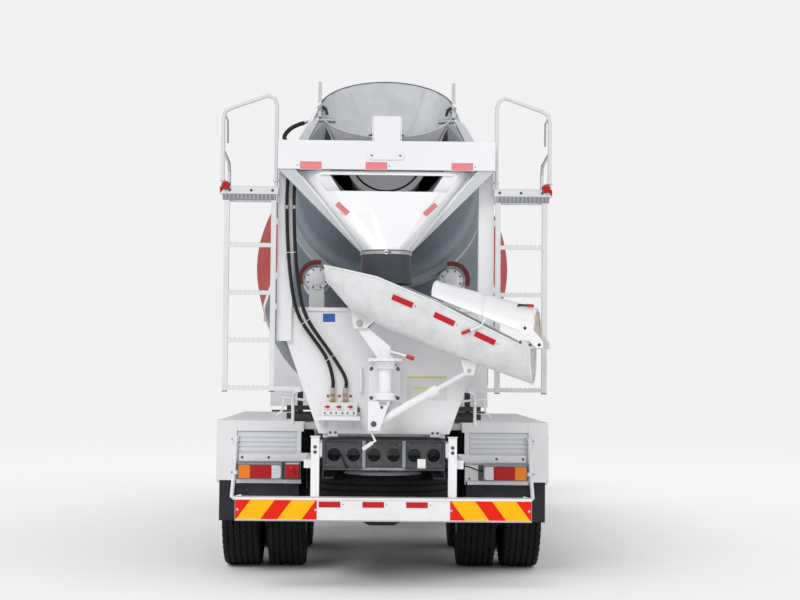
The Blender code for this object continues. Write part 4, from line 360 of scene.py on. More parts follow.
class Piece:
    """Gathers shapes into one object, measured from y; side -1 mirrors what is drawn to the left."""

    def __init__(self, name, *materials, y=0.0):
        self.name = name
        self.materials = materials
        self.origin = Vector((0, y, 0))
        self.side = 1
        self.bm = bmesh.new()

    def toward(self, direction):
        return Vector((self.side * direction[0], direction[1], direction[2]))

    def at(self, point):
        return self.origin + self.toward(point)

    def face(self, verts, mat):
        self.bm.faces.new(verts).material_index = mat

    def bridge(self, rings, mat):
        """Walls between rings; a ring of one vertex is a tip."""
        for first, second in pairwise(rings):
            for step in range(max(len(first), len(second))):
                corners = [ring[(step + turn) % len(ring)] for ring, turn in
                           ((first, 0), (second, 0), (second, 1), (first, 1))]
                self.face(list(dict.fromkeys(corners)), mat)

    def prism(self, outline, offset, mat=0):
        """A closed outline of 3-D points, pushed along an offset."""
        rings = [[self.bm.verts.new(self.at(point) + move) for point in outline]
                 for move in (Vector(), self.toward(offset))]
        self.face(rings[0][::-1], mat)
        self.face(rings[1], mat)
        self.bridge(rings, mat)

    def boxes(self, *rows):
        """Boxes from rows of low and high x, y and z, with the material last where it isn't 0."""
        for left, right, back, front, low, high, *mat in rows:
            self.prism([(left, back, low), (right, back, low), (right, front, low), (left, front, low)],
                       (0, 0, high - low), *mat)

    def slats(self, count, pitch, *row):
        """A row of boxes, each moved on by the pitch in x, y and z."""
        for step in range(count):
            self.boxes([value + step * pitch[place // 2] if place < 6 else value
                        for place, value in enumerate(row)])

    def lathe(self, profile, start, axis, sides=48, mat=0, shift=None):
        """Turn (radius, along) points round an axis; shift moves points by ring and place."""
        turn = turn_to(self.toward(axis))
        rings = []
        for place, (radius, along) in enumerate(profile):
            ring = []
            for step, angle in enumerate(fan(sides)[:-1] if radius > 1e-6 else (0.0,)):
                moved = along + (shift(step, place) if shift else 0.0)
                ring.append(self.bm.verts.new(self.at(start) + turn @ polar(radius, angle, moved)))
            rings.append(ring)
        self.bridge(rings, mat)

    def rod(self, start, end, radius, end_radius=None, sides=16, mat=0, chamfer=0.0):
        along = Vector(end) - Vector(start)
        far = radius if end_radius is None else end_radius
        profile = [(0.0, 0.0), (radius - chamfer, 0.0), (far - chamfer, along.length), (0.0, along.length)]
        if chamfer:
            profile[2:2] = [(radius, chamfer), (far, along.length - chamfer)]
        self.lathe(profile, start, along, sides, mat)

    def path(self, points, radius, sides=10, mat=0, ribs=0.0):
        """A round tube along points, ribbed when ribs is a radius step."""
        points = [self.at(point) for point in points]
        rings = []
        for index, point in enumerate(points):
            ahead = (points[min(index + 1, len(points) - 1)] - points[max(index - 1, 0)]).normalized()
            if not rings:
                side = ahead.orthogonal().normalized()
            side = (side - ahead * side.dot(ahead)).normalized()
            turn = Matrix((side, ahead.cross(side), ahead)).transposed()
            reach = radius + (ribs if index % 2 else 0.0)
            rings.append([self.bm.verts.new(point + turn @ polar(reach, angle)) for angle in fan(sides)[:-1]])
        self.bridge(rings, mat)
        self.face(rings[0][::-1], mat)
        self.face(rings[-1], mat)

    def dome(self, centre, axis, radius, height, sides=24, mat=0):
        profile = [(radius * math.cos(angle), height * math.sin(angle)) for angle in fan(6, math.pi / 2)]
        self.lathe([(0.0, 0.0)] + profile, centre, axis, sides, mat)

    def bolts(self, spots, axis, size, height, mat=0):
        """Hexagon heads with washers."""
        along = Vector(axis).normalized() * height
        for spot in spots:
            centre = Vector(spot)
            self.rod(centre, centre + along * 0.25, size * 1.45, mat=mat)
            self.rod(centre + along * 0.2, centre + along, size, size * 0.92, sides=6, mat=mat)

    def done(self, slot, bevel=0.0, body="chassis", smooth=35.0, segments=2):
        bmesh.ops.recalc_face_normals(self.bm, faces=self.bm.faces)
        mesh = bpy.data.meshes.new(self.name)
        self.bm.to_mesh(mesh)
        self.bm.free()
        for material in self.materials:
            mesh.materials.append(material)
        mesh.shade_smooth()
        mesh.set_sharp_from_angle(angle=math.radians(smooth))
        made = bpy.data.objects.new(self.name, mesh)
        SCENE.collection.objects.link(made)
        if bevel:
            soften(made, bevel, segments)
        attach(made, body)
        return made


def pair(name, *materials, y=0.0):
    """The left and the right piece of a mirrored pair; both are drawn as on the right."""
    for hand, side in HANDS.items():
        piece = Piece(f"{name}_{hand}", *materials, y=y)
        piece.hand = hand
        piece.side = side
        yield piece


def soften(thing, width, segments=2):
    rounded = thing.modifiers.new("bevel", "BEVEL")
    rounded.width = width
    rounded.segments = segments
    rounded.limit_method = "ANGLE"
    rounded.angle_limit = math.radians(38)
    even = thing.modifiers.new("normals", "WEIGHTED_NORMAL")
    even.keep_sharp = False
    even.weight = 60


def curve_through(steps, *anchors):
    """Points of a smooth curve through the anchors."""
    points = [Vector(anchor) for anchor in anchors]
    points = [points[0], *points, points[-1]]
    route = []
    for before, start, end, after in zip(points, points[1:], points[2:], points[3:]):
        for t in (step / steps for step in range(steps)):
            route.append(0.5 * (2 * start + (end - before) * t
                                + (2 * before - 5 * start + 4 * end - after) * t * t
                                + (3 * start - before - 3 * end + after) * t * t * t))
    return route + [points[-1]]


# Wheels

TYRE_R = 0.535
TREAD_HALF = 0.122
WHEEL_Z = 0.53582
TWIN_HALF = 0.175
# columns: distance from the middle of the tread, radius, for one shoulder of the tyre
SHOULDER = ((0.284, -0.138), (0.3, -0.146), (0.34, -0.146), (0.344, -0.149), (0.42, -0.146), (0.478, -0.141),
            (0.482, -0.144), (0.505, -0.139), (0.52, -0.134), (0.531, -0.124))


def tyre(piece, centre, axis):
    """Tread with zigzag grooves, rounded shoulders with blocks, and marked sidewalls."""
    profile = list(SHOULDER)
    for place in (-0.78, -0.40, 0.0, 0.40, 0.78):
        profile += [(TYRE_R - 0.0015 - depth, place * TREAD_HALF + along) for along, depth in
                    ((-0.0075, 0.0), (-0.0045, 0.013), (0.0045, 0.013), (0.0075, 0.0))]
    last = len(profile)
    profile += [(radius, -along) for radius, along in reversed(SHOULDER)]

    def zigzag(step, place):
        if len(SHOULDER) <= place < last:
            return 0.0045 if step % 2 else -0.0045
        return 0.0

    piece.lathe(profile, centre, axis, 96, 0, zigzag)
    turn = turn_to(axis)
    for angle, sign in product(fan(48)[:-1], (-1, 1)):
        spin = turn @ Matrix.Rotation(angle, 3, "Z")
        block = [(0.499, 0.1275), (0.53, 0.1275), (0.522, 0.1405), (0.499, 0.1405)]
        piece.prism([Vector(centre) + spin @ Vector((radius, -0.01, sign * along))
                     for radius, along in block],
                    spin @ Vector((0, 0.02, 0)))


def nuts(piece, centre, axis, circle, count, size, height, mat=1):
    turn = turn_to(axis)
    spots = [Vector(centre) + turn @ polar(circle, angle) for angle in fan(count, first=math.pi / count)[:-1]]
    piece.bolts(spots, axis, size, height, mat)


def hand_holes(rim, centre, axis, circle):
    """Oval openings of the rim's disc, sunk and dark: painted shade on ovals where the holes would be."""
    turn = turn_to(axis)
    for angle in fan(10)[:-1]:
        spin = turn @ Matrix.Rotation(angle, 3, "Z")
        rim.prism([centre + spin @ Vector((circle + 0.014 * math.cos(turned), 0.024 * math.sin(turned), 0))
                   for turned in fan(16)[:-1]], turn @ Vector((0, 0, 0.0012)), 2)


def single_rim(rim, centre, out):
    rim.lathe([(0.0, 0.188), (0.06, 0.188), (0.076, 0.18), (0.08, 0.165), (0.083, 0.112), (0.094, 0.101),
               (0.16, 0.097), (0.205, 0.084), (0.232, 0.07), (0.24, 0.09), (0.248, 0.112), (0.262, 0.124),
               (0.283, 0.132), (0.287, 0.137), (0.282, 0.14), (0.29, 0.132), (0.268, 0.11), (0.262, -0.11),
               (0.29, -0.132), (0.282, -0.14), (0.262, -0.124), (0.248, -0.105), (0.236, 0.06)],
              centre, out, 64)
    rim.lathe([(0.2, 0.05), (0.2, -0.12), (0.194, -0.13), (0.11, -0.13), (0.11, -0.06), (0.0, -0.06)],
              centre, out, 48, 1)
    nuts(rim, centre + out * 0.098, out, 0.145, 10, 0.016, 0.026)
    nuts(rim, centre + out * 0.188, out, 0.05, 6, 0.007, 0.006)
    hand_holes(rim, centre + out * 0.086, out, 0.208)


def twin_rim(rim, centre, out):
    rim.lathe([(0.0, 0.128), (0.066, 0.128), (0.08, 0.121), (0.085, 0.105), (0.087, 0.04), (0.104, 0.026),
               (0.175, 0.024), (0.215, 0.034), (0.234, 0.062), (0.238, 0.12), (0.244, 0.2), (0.248, 0.28),
               (0.262, 0.298), (0.283, 0.306), (0.287, 0.312), (0.282, 0.316), (0.29, 0.306), (0.27, 0.29),
               (0.262, 0.05)], centre, out, 64)
    rim.lathe([(0.262, -0.05), (0.27, -0.29), (0.29, -0.306), (0.282, -0.316), (0.262, -0.298),
               (0.248, -0.28), (0.238, -0.12), (0.232, 0.01)], centre, out, 64)
    rim.lathe([(0.206, 0.0), (0.206, -0.286), (0.2, -0.3), (0.12, -0.304), (0.12, -0.2), (0.0, -0.2)],
              centre, out, 64, 1)
    nuts(rim, centre + out * 0.025, out, 0.15, 10, 0.016, 0.03)
    nuts(rim, centre + out * 0.128, out, 0.055, 8, 0.007, 0.006)
    hand_holes(rim, centre + out * 0.0285, out, 0.2)


def wheel(rubber, rim, node, body, centre, out, draw_rim, offsets=(0.0,)):
    """Tyres and rim in place of a wheel's solid."""
    for offset in offsets:
        tyre(rubber, centre + out * offset, out)
    draw_rim(rim, centre, out)
    for piece, smooth in ((rubber, 30), (rim, 40)):
        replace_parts(piece.done("tyre", body=body, smooth=smooth), node)


def wheels():
    # columns: axle, ending of the pieces' names, distance out, distance ahead, rim, tyres' offsets
    for axle, more, x, y, draw_rim, offsets in (
            ("middle", "s", 0.9185, -0.86, twin_rim, (-TWIN_HALF, TWIN_HALF)),
            ("rear", "s", 0.9185, -2.21, twin_rim, (-TWIN_HALF, TWIN_HALF)),
            ("front", "", 1.02, 2.94, single_rim, (0.0,))):
        for rubber, rim in zip(pair(f"tyre{more}_{axle}", TYRE),
                               pair(f"rim{more}_{axle}", RIM, DARK_STEEL, PAINTED_SHADE_BLACK)):
            node = f"wheel_{axle}_{rim.hand}"
            wheel(rubber, rim, node, node, Vector((x, y, WHEEL_Z)), Vector(OUT), draw_rim, offsets)
    wheel(Piece("spare_tyre", TYRE), Piece("spare_rim", RIM, DARK_STEEL, PAINTED_SHADE_BLACK), "spare_wheel", "chassis",
          Vector((0, -3.15, 0.645)), -Vector(UP), single_rim)
    plate = Piece("spare_carrier", PAINT_HIGH, DARK_STEEL)
    plate.lathe([(0.0, 0.805), (0.275, 0.805), (0.29, 0.797), (0.29, 0.793), (0.0, 0.793)], (0, -3.15, 0), UP)
    plate.bolts([(0, -3.15, 0.805)], UP, 0.02, 0.016, 1)
    plate.done("bare_steel")


# Drum

BLADE_STEPS = 96


def drum():
    """Smooth shell in place of the solid's flats, with roller ring, mouth lip, blades and seams."""
    outer = [(0.452, -1.0), (0.462, -1.0), (0.466, -0.99), (0.466, -0.97), (0.466, -0.955)]
    # columns: radius and distance at the start of a cone, their growth, steps
    for radius, along, wider, longer, steps in ((0.475, -0.93, 0.27, 0.88, 8), (0.745, 0.05, 0, 0, 0),
                                                (0.748, 0.07, 0.372, 1.8, 12)):
        outer += [(radius + wider * step / max(steps, 1), along + longer * step / max(steps, 1))
                  for step in range(steps + 1)]
    outer += [(1.14, 1.965), (1.15, 2.03), (1.155, 2.11), (1.1566, 2.2), (1.1566, 2.72), (1.154, 2.8),
              (1.146, 2.88), (1.128, 2.965)]
    outer += [(1.11 - 0.045 * step, 3.03 + 0.134 * step) for step in range(11)]
    outer += [(0.62, 4.45), (0.56, 4.505), (0.446, 4.56), (0.3, 4.595), (0.22, 4.61), (0.22, 4.66),
              (0.0, 4.66)]
    shell = Piece("drum_skin", DRUM, RING_PAINT, DARK_STEEL)
    shell.lathe(outer, RING_CENTRE, DRUM_AXIS, 128)
    shell.lathe([(0.452, -1.0), (0.466, -0.94), (0.737, -0.04), (0.74, 0.07), (1.112, 1.9), (1.15, 2.15),
                 (1.15, 2.75), (1.105, 3.03), (0.612, 4.44), (0.0, 4.56)], RING_CENTRE, DRUM_AXIS, 96, 2)
    shell.lathe([(0.744, -0.045), (0.79, -0.045), (0.7978, -0.037), (0.7978, 0.037), (0.79, 0.045),
                 (0.744, 0.045)], RING_CENTRE, DRUM_AXIS, 128, 1)
    for radius, along in ((0.925, 0.93), (1.1515, 2.05), (1.1465, 2.87)):
        shell.lathe([(radius + out, along + ahead) for out, ahead in
                     ((-0.004, -0.006), (0.002, -0.002), (0.002, 0.002), (-0.004, 0.006))],
                    RING_CENTRE, DRUM_AXIS, 128)
    turn = turn_to(DRUM_AXIS)
    for start in (0.0, math.pi):
        ribbon = []
        for step, angle in enumerate(fan(BLADE_STEPS, 4.2 * math.pi, start)):
            along = -0.92 + 2.6 * step / BLADE_STEPS
            wall = 0.466 + (along + 0.94) * 0.301 if along < -0.04 else 0.738 + (along - 0.04) * 0.201
            wall -= 0.01
            height = min(0.05 + 0.10 * (along + 0.92), 0.26)
            ribbon.append([shell.bm.verts.new(RING_CENTRE + turn @ polar(radius, angle, place))
                           for radius, place in ((wall, along), (wall - height, along + 0.02))])
        for (first, second), (third, fourth) in pairwise(ribbon):
            shell.face([first, second, fourth, third], 2)
    nuts(shell, RING_CENTRE + DRUM_AXIS * 4.612, DRUM_AXIS, 0.19, 12, 0.013, 0.014)
    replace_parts(shell.done("drum_paint", body="drum", smooth=32), "drum_shell")


# Reflectors and stripes

def on_plane(piece, centre, across, up, half_wide, half_high, thick, mat):
    """A flat slab facing along across x up."""
    piece.prism([centre + across * turn * half_wide + up * rise * half_high
                 for turn, rise in ((-1, -1), (1, -1), (1, 1), (-1, 1))], across.cross(up) * thick, mat)


def reflector(piece, centre, across=Vector(OUT), up=Vector(UP), high=0.04, dot=1):
    """White border, red prism strip and the small rivet beside it."""
    wide = 0.15
    centre = Vector(centre)
    facing = across.cross(up)
    on_plane(piece, centre, across, up, wide / 2 + 0.004, high / 2 + 0.004, 0.0015, 0)
    on_plane(piece, centre + facing * 0.0013, across, up, wide / 2, high / 2, 0.0022, 1)
    spot = centre + across * dot * (wide / 2 + 0.018)
    piece.rod(spot, spot + facing * 0.003, 0.004, sides=12, mat=2)


def rear_reflectors():
    strips = Piece("bumper_reflectors", PLATE_WHITE, RED_LENS, DARK_STEEL)
    for x in (-0.374, -0.071, 0.232):
        reflector(strips, (x, -3.9502, 0.626))
    strips.done("lamp_plastic", 0.0006)
    strips = Piece("beam_reflectors", PLATE_WHITE, PALE_LENS, DARK_STEEL)
    for x, dot in ((-0.53, -1), (-0.072, 1), (0.528, 1)):
        reflector(strips, (x, -3.9802, 2.983), high=0.052, dot=dot)
    strips.done("lamp_plastic", 0.0006)


STRIPES = ((0.118, 0), (0.167, 1))
SLANT = 0.099
BOARD_BOTTOM, BOARD_TOP = 0.522, 0.654
BOARD_IN, BOARD_OUT = 0.462, 1.028


def clipped(points, low, high):
    """Cut a polygon of (x, z) points to a span of x."""
    for limit, keep in ((low, 1), (high, -1)):
        kept = []
        for index, point in enumerate(points):
            before = points[index - 1]
            inside = keep * (point[0] - limit) >= 0
            if inside != (keep * (before[0] - limit) >= 0):
                share = (limit - before[0]) / (point[0] - before[0])
                kept.append((limit, before[1] + share * (point[1] - before[1])))
            if inside:
                kept.append(point)
        points = kept
    return points


def chevrons():
    """Red and yellow warning stripes at both ends of the bar."""
    board = Piece("bumper_stripes", STRIPE_RED, STRIPE_YELLOW)
    for board.side in HANDS.values():
        edge = BOARD_IN - 0.012
        for width, mat in STRIPES * 4:
            band = clipped([(edge, BOARD_BOTTOM), (edge + width, BOARD_BOTTOM),
                            (edge + width - SLANT, BOARD_TOP),
                            (edge - SLANT, BOARD_TOP)], BOARD_IN, BOARD_OUT)
            if len(band) > 2:
                board.prism(flat(-3.9502, *band), (0, -0.0015, 0), mat)
            edge += width
    board.done("white_paint")
    bar = Piece("bumper_edges", PAINT_HIGH, BUMPER_GREY_AND_SHADOW)
    # The grey lip along the bottom edge is a painted shadow line under the bumper
    bar.boxes((-1.03, 1.03, -3.956, -3.896, 0.6732, 0.6772), (-1.03, 1.03, -3.956, -3.949, 0.657, 0.6774),
              (-1.03, 1.03, -3.954, -3.896, 0.51, 0.5138, 1))
    bar.bolts(flat(-3.951, (-1.012, 0.588), (1.012, 0.588), (-0.47, 0.588), (0.47, 0.588)),
              BACK, 0.006, 0.004, 1)
    bar.done("white_paint", 0.001)


# Rear lamps and mudguards

GUARD_Y = -2.98
LAMP_Y = -3.0353


def tail_lamps():
    for lamp in pair("lamp_lenses", LAMP_GREY, AMBER_LENS, RED_LENS, CLEAR_LENS, PLATE_WHITE, y=LAMP_Y):
        lamp.boxes((0.757, 1.088, -0.004, 0.03, 0.732, 0.738),
                   (0.757, 1.088, -0.012, 0.03, 0.842, 0.852),
                   (0.757, 0.762, -0.004, 0.03, 0.734, 0.846),
                   (1.083, 1.088, -0.004, 0.03, 0.734, 0.846))
        for low, high, mat in ((0.764, 0.834, 3), (0.837, 0.9, 2), (0.902, 0.992, 2), (0.995, 1.08, 1)):
            lamp.boxes((low, high, -0.014, -0.0005, 0.741, 0.839, mat))
            lamp.slats(5, (0, 0, 0.019), low + 0.004, high - 0.004, -0.0165, -0.012, 0.752, 0.763, mat)
        lamp.bolts(product((0.77, 1.074), (-0.0163,), (0.746, 0.834)), BACK, 0.004, 0.003)
        lamp.done("lamp_plastic", 0.002)

    square = Piece("fog_lamp", DARK_STEEL, RED_LENS, PLATE_WHITE)
    square.boxes((-0.737, -0.623, -3.042, -3.006, 0.738, 0.852),
                 (-0.731, -0.629, -3.054, -3.04, 0.744, 0.846, 1),
                 (-0.728, -0.632, -3.047, -3.036, 0.846, 0.856, 2))
    square.dome((-0.68, -3.053, 0.795), BACK, 0.034, 0.008, 24, 1)
    square.done("lamp_plastic", 0.006, segments=3)

    blank = Piece("lamp_back_plates", PAINT, DARK_STEEL)
    blank.boxes((0.622, 0.722, -2.9925, -2.9907, 0.732, 0.848),
                (-1.105, -0.615, -2.9935, -2.9907, 0.7, 0.7295), (0.64, 1.105, -2.9935, -2.9907, 0.7, 0.7295))
    blank.bolts([(0.655, -2.9925, 0.745)], BACK, 0.006, 0.005, 1)
    blank.done("white_paint", 0.001)

    cable = Piece("lamp_cables", HOSE)
    cable.path(curve_through(6, (0.766, -3.01, 0.8), (0.72, -3.06, 0.812), (0.65, -3.08, 0.838),
                             (0.585, -3.06, 0.85)), 0.005, 8)
    cable.path(curve_through(5, (-0.766, -3.02, 0.846), (-0.748, -3.03, 0.858), (-0.735, -3.022, 0.86)),
               0.004, 8)
    cable.done("hose_rubber")


def mudguard_trim():
    """Folded end board, ribbed panel, hooked flap stays and the flap clamp."""
    for trim in pair("mudguard_trim", PAINT_HIGH, DARK_STEEL, y=GUARD_Y):
        trim.prism(flat(-0.019, (1.101, 0.722), (1.255, 0.722), (1.245, 1.172), (1.101, 1.172)),
                   (0, 0.016, 0))
        trim.prism(flat(-0.018, (1.243, 0.722), (1.255, 0.722), (1.252, 1.172), (1.24, 1.172)), (0, 0.2, 0))
        trim.boxes((0.6, 1.244, -0.016, 0.08, 1.092, 1.172),
                   (0.618, 1.085, -0.018, -0.0005, 0.866, 0.924),
                   (0.618, 0.65, -0.014, 0.03, 0.92, 1.095))
        trim.bolts(product((0.64, 0.86, 1.06), (-0.018,), (0.895,)), BACK, 0.007, 0.005, 1)
        trim.bolts([(0.7, -0.016, 1.14), (1.22, -0.019, 1.14)], BACK, 0.005, 0.003)
        trim.done("white_paint", 0.003)

    for panel in pair("mudguard_ribs", RIBBED, y=GUARD_Y):
        panel.boxes((0.648, 1.1, -0.004, 0.004, 0.925, 1.09))
        panel.slats(4, (0, 0, 0.035), 0.656, 1.1, -0.011, -0.003, 0.941, 0.967)
        panel.done("white_paint", 0.004, segments=3)

    for stay in pair("flap_stay", PAINT_HIGH, DARK_STEEL):
        stay.path(flat(-3.009, (1.106, 1.06), (1.11, 0.9), (1.126, 0.69), (1.134, 0.6), (1.12, 0.588),
                       (1.06, 0.604)),
                  0.0155, 14)
        stay.slats(2, (0, 0, 0.25), 1.085, 1.14, -3.026, -3.0, 0.77, 0.796)
        stay.bolts(product((1.091, 1.134), (-3.026,), (0.783, 1.033)), BACK, 0.004, 0.003, 1)
        stay.done("white_paint")

    for strip in pair("flap_clamp", FLAP_RUBBER, y=GUARD_Y):
        strip.boxes((0.632, 1.228, -0.016, -0.0105, 0.672, 0.7),
                    (0.632, 1.228, -0.0135, -0.0105, 0.424, 0.432))
        strip.bolts([(0.68 + step * 0.1, -0.016, 0.686) for step in range(6)], BACK, 0.006, 0.004)
        strip.done("flap_rubber", 0.002)


# Frame's rear end

def crossmember_trim():
    fittings = Piece("crossmember_fittings", FRAME_PAINT, DARK_STEEL, PALE_FRAME, PLATE_WHITE)
    fittings.slats(2, (0.28, 0, 0), -0.151, -0.129, -3.8945, -3.8705, 0.872, 1.066, 2)
    fittings.boxes((-0.151, 0.151, -3.8945, -3.8805, 0.862, 0.878, 2),
                   (0.235, 0.292, -3.8785, -3.87, 0.875, 0.94, 3),
                   (-0.19, -0.02, -3.8925, -3.8625, 1.055, 1.086),
                   (0.06, 0.16, -3.8925, -3.8625, 1.052, 1.09))
    fittings.bolts(product((-0.395, -0.165, -0.115, 0.115, 0.165, 0.395), (-3.8702,), (0.892, 1.042)),
                   BACK, 0.008, 0.007, 1)
    fittings.bolts(product((-0.3, -0.02, 0.3), (-3.8702,), (0.885,)), BACK, 0.007, 0.006, 1)
    fittings.done("chassis_paint", 0.0015)
    pipe = Piece("frame_air_lines", HOSE, DARK_STEEL)
    pipe.path(curve_through(6, (-0.3, -3.872, 0.965), (-0.285, -3.905, 0.94), (-0.27, -3.9, 0.9),
                            (-0.255, -3.872, 0.88)), 0.006, 8)
    pipe.path(curve_through(6, (-0.4, -3.9, 1.08), (-0.25, -3.905, 1.088), (0.0, -3.903, 1.084),
                            (0.25, -3.905, 1.088), (0.4, -3.9, 1.08)), 0.008, 8)
    pipe.done("hose_rubber")
    posts = Piece("bumper_post_caps", PAINT, DARK_STEEL)
    for posts.side in HANDS.values():
        posts.boxes((0.445, 0.515, -3.905, -3.835, 1.0895, 1.096))
        posts.bolts(flat(-3.9002, (0.48, 0.985), (0.48, 1.02)), BACK, 0.009, 0.007, 1)
    posts.done("white_paint", 0.002)


# Tower

PLATE_Y = -3.79


def tower_trim():
    trim = Piece("tower_trim", PAINT_HIGH, DARK_STEEL, y=PLATE_Y)
    trim.path(flat(-0.004, (-0.764, 1.992), (0.764, 1.992)), 0.007)
    trim.boxes((-0.735, 0.735, -0.0016, 0.002, 1.962, 1.968))
    trim.path([(-0.165, out, z) for out, z in ((0.004, 1.4), (-0.03, 1.408), (-0.035, 1.425),
                                                         (-0.035, 1.545), (-0.03, 1.562), (0.004, 1.57))],
              0.0092, 12)
    for trim.side in HANDS.values():
        trim.bolts([(0.435 + (z - 1.11) * 0.295, 0, z) for z in (1.2, 1.45, 1.7)], BACK, 0.008, 0.006)
    trim.bolts(product((-0.095, 0.095), (-0.1204,), (1.365, 1.565)), BACK, 0.008, 0.006, 1)
    trim.done("white_paint", 0.001)

    plates = Piece("tower_blank_plates", BLUE_PLATE, YELLOW_PLATE, PLATE_GREY, y=PLATE_Y)
    plates.boxes((-0.439, -0.353, -0.0022, -0.0002, 1.896, 1.955),
                 (0.161, 0.443, -0.0022, -0.0002, 1.35, 1.52, 2),
                 (0.163, 0.441, -0.0032, -0.002, 1.502, 1.517, 1),
                 (0.2, 0.438, -0.0032, -0.002, 1.428, 1.443, 1))
    plates.done("white_paint", 0.0005)

    legs = Piece("tower_feet", PAINT, DARK_STEEL, y=PLATE_Y)
    legs.slats(2, (0.72, 0, 0), -0.395, -0.325, -0.006, 0.004, 1.09, 1.2)
    legs.bolts(product((-0.378, -0.342, 0.342, 0.378), (-0.006,), (1.118,)), BACK, 0.007, 0.006, 1)
    legs.boxes((-0.47, -0.17, -0.084, -0.0005, 1.214, 1.2345),
               (-0.47, -0.17, -0.088, -0.082, 1.205, 1.2345))
    for x in (-0.425, -0.215):
        legs.prism([(x, -0.07, 1.214), (x, -0.001, 1.214), (x, -0.001, 1.15)],
                   (0.008, 0, 0))
    legs.done("white_paint", 0.002)


def side_stays():
    """Black brackets with white stays where the ladders meet the mudguards."""
    for stay in pair("ladder_stay", DARK_PAINT, PAINT, DARK_STEEL):
        stay.boxes((0.5, 0.65, -3.52, -3.44, 1.185, 1.255), (0.585, 0.625, -3.5, -3.47, 1.25, 1.4),
                   (0.52, 0.7, -3.535, -3.515, 1.268, 1.3))
        stay.rod((0.52, -3.54, 1.225), (0.7, -3.54, 1.225), 0.022)
        stay.path([(0.655, -3.56, 1.16), (0.655, -3.562, 1.33), (0.64, -3.64, 1.395), (0.6, -3.8, 1.412)],
                  0.012, 12, 1)
        stay.path(flat(-3.545, (0.5, 1.33), (0.74, 1.36)), 0.009, 10, 1)
        stay.path(flat(-3.545, (0.72, 1.35), (0.735, 1.26), (0.775, 1.225)), 0.008, 10, 1)
        stay.bolts(flat(-3.521, (0.53, 1.215), (0.62, 1.215)), BACK, 0.008, 0.006, 2)
        stay.done("chassis_paint", 0.002)


# Hoses and valves

FIT_Y = -3.83


def hose_fittings():
    fittings = Piece("hose_fittings", BRASS_METAL, STEEL, y=FIT_Y)
    # columns: foot, top, radius, sides, material
    parts = [(1.3305, 1.352, 0.016, 6, 0), (1.352, 1.372, 0.0145, 20, 1), (1.372, 1.392, 0.0165, 6, 0),
             (1.392, 1.432, 0.0152, 20, 1)]
    parts += [(1.396 + step * 0.009, 1.4 + step * 0.009, 0.0162, 20, 1) for step in range(4)]
    for x, (foot, top, radius, sides, mat) in product((-0.365, -0.275), parts):
        fittings.rod((x, 0, foot), (x, 0, top), radius, sides=sides, mat=mat)
    fittings.done("bare_steel", 0.0006)
    pipes = Piece("hose_pipes", HOSE, STEEL)
    for x in (-0.7, -0.65):
        pipes.path(curve_through(6, (x, -3.85, 2.695), (x, -3.852, 2.78), (x + 0.004, -3.856, 2.87),
                                 (x + 0.01, -3.862, 2.96)), 0.0125, 14)
        pipes.rod((x, -3.85, 2.688), (x, -3.85, 2.712), 0.0165, sides=6, mat=1)
    pipes.boxes((-0.735, -0.615, -3.868, -3.832, 2.93, 2.956, 1))
    pipes.done("hose_rubber")
    ties = Piece("hose_ties", PLATE_WHITE)
    for centre, along, half in (((-0.56, -3.846, 1.893), (0.55, 0, -0.83), 0.046),
                                ((-0.385, -3.842, 1.64), (0.6, 0, -0.8), 0.047),
                                ((-0.672, -3.855, 2.38), (0.06, 0, -1), 0.046)):
        across = Vector(AHEAD).cross(Vector(along).normalized())
        for ends in pairwise([Vector(centre) + across * half * math.cos(angle)
                              + Vector(AHEAD) * 0.0175 * math.sin(angle) for angle in fan(24)]):
            ties.path(ends, 0.0022, 6)
    ties.done("white_paint")


def valve_handles():
    handles = Piece("valve_handles", PAINT, HANDLE_RED, DARK_STEEL, y=PLATE_Y)
    for x in (-0.395, -0.315, -0.235):
        handles.boxes((x - 0.031, x + 0.031, -0.076, -0.0695, 1.243, 1.326))
        handles.rod((x, -0.075, 1.3), (x, -0.092, 1.3), 0.01, mat=2)
        handles.prism(flat(-0.092, (x - 0.03, 1.3), (x - 0.006, 1.309), (x + 0.014, 1.306),
                           (x + 0.014, 1.294), (x - 0.006, 1.291)), (0, -0.01, 0), 1)
        handles.dome((x, -0.082, 1.372), (0, -0.5, 0.85), 0.011, 0.014, 16, 1)
        handles.bolts(flat(-0.076, (x - 0.022, 1.256), (x + 0.022, 1.256)), BACK, 0.005, 0.004, 2)
    handles.rod((-0.1895, -0.035, 1.28), (-0.17, -0.035, 1.28), 0.016, sides=6, mat=2)
    handles.done("white_paint", 0.0015)
    upper = Piece("hopper_hose", HOSE, STEEL)
    upper.path(curve_through(14, (-0.715, -3.86, 3.165), (-0.724, -3.8, 3.215), (-0.69, -3.72, 3.275),
                             (-0.64, -3.64, 3.318), (-0.6, -3.6, 3.338)), 0.013, 14, 0, 0.0028)
    upper.rod((-0.6, -3.6, 3.338), (-0.56, -3.585, 3.352), 0.01, mat=1)
    upper.done("hose_rubber")


# Beam and hoppers

BEAM_Y = -3.98


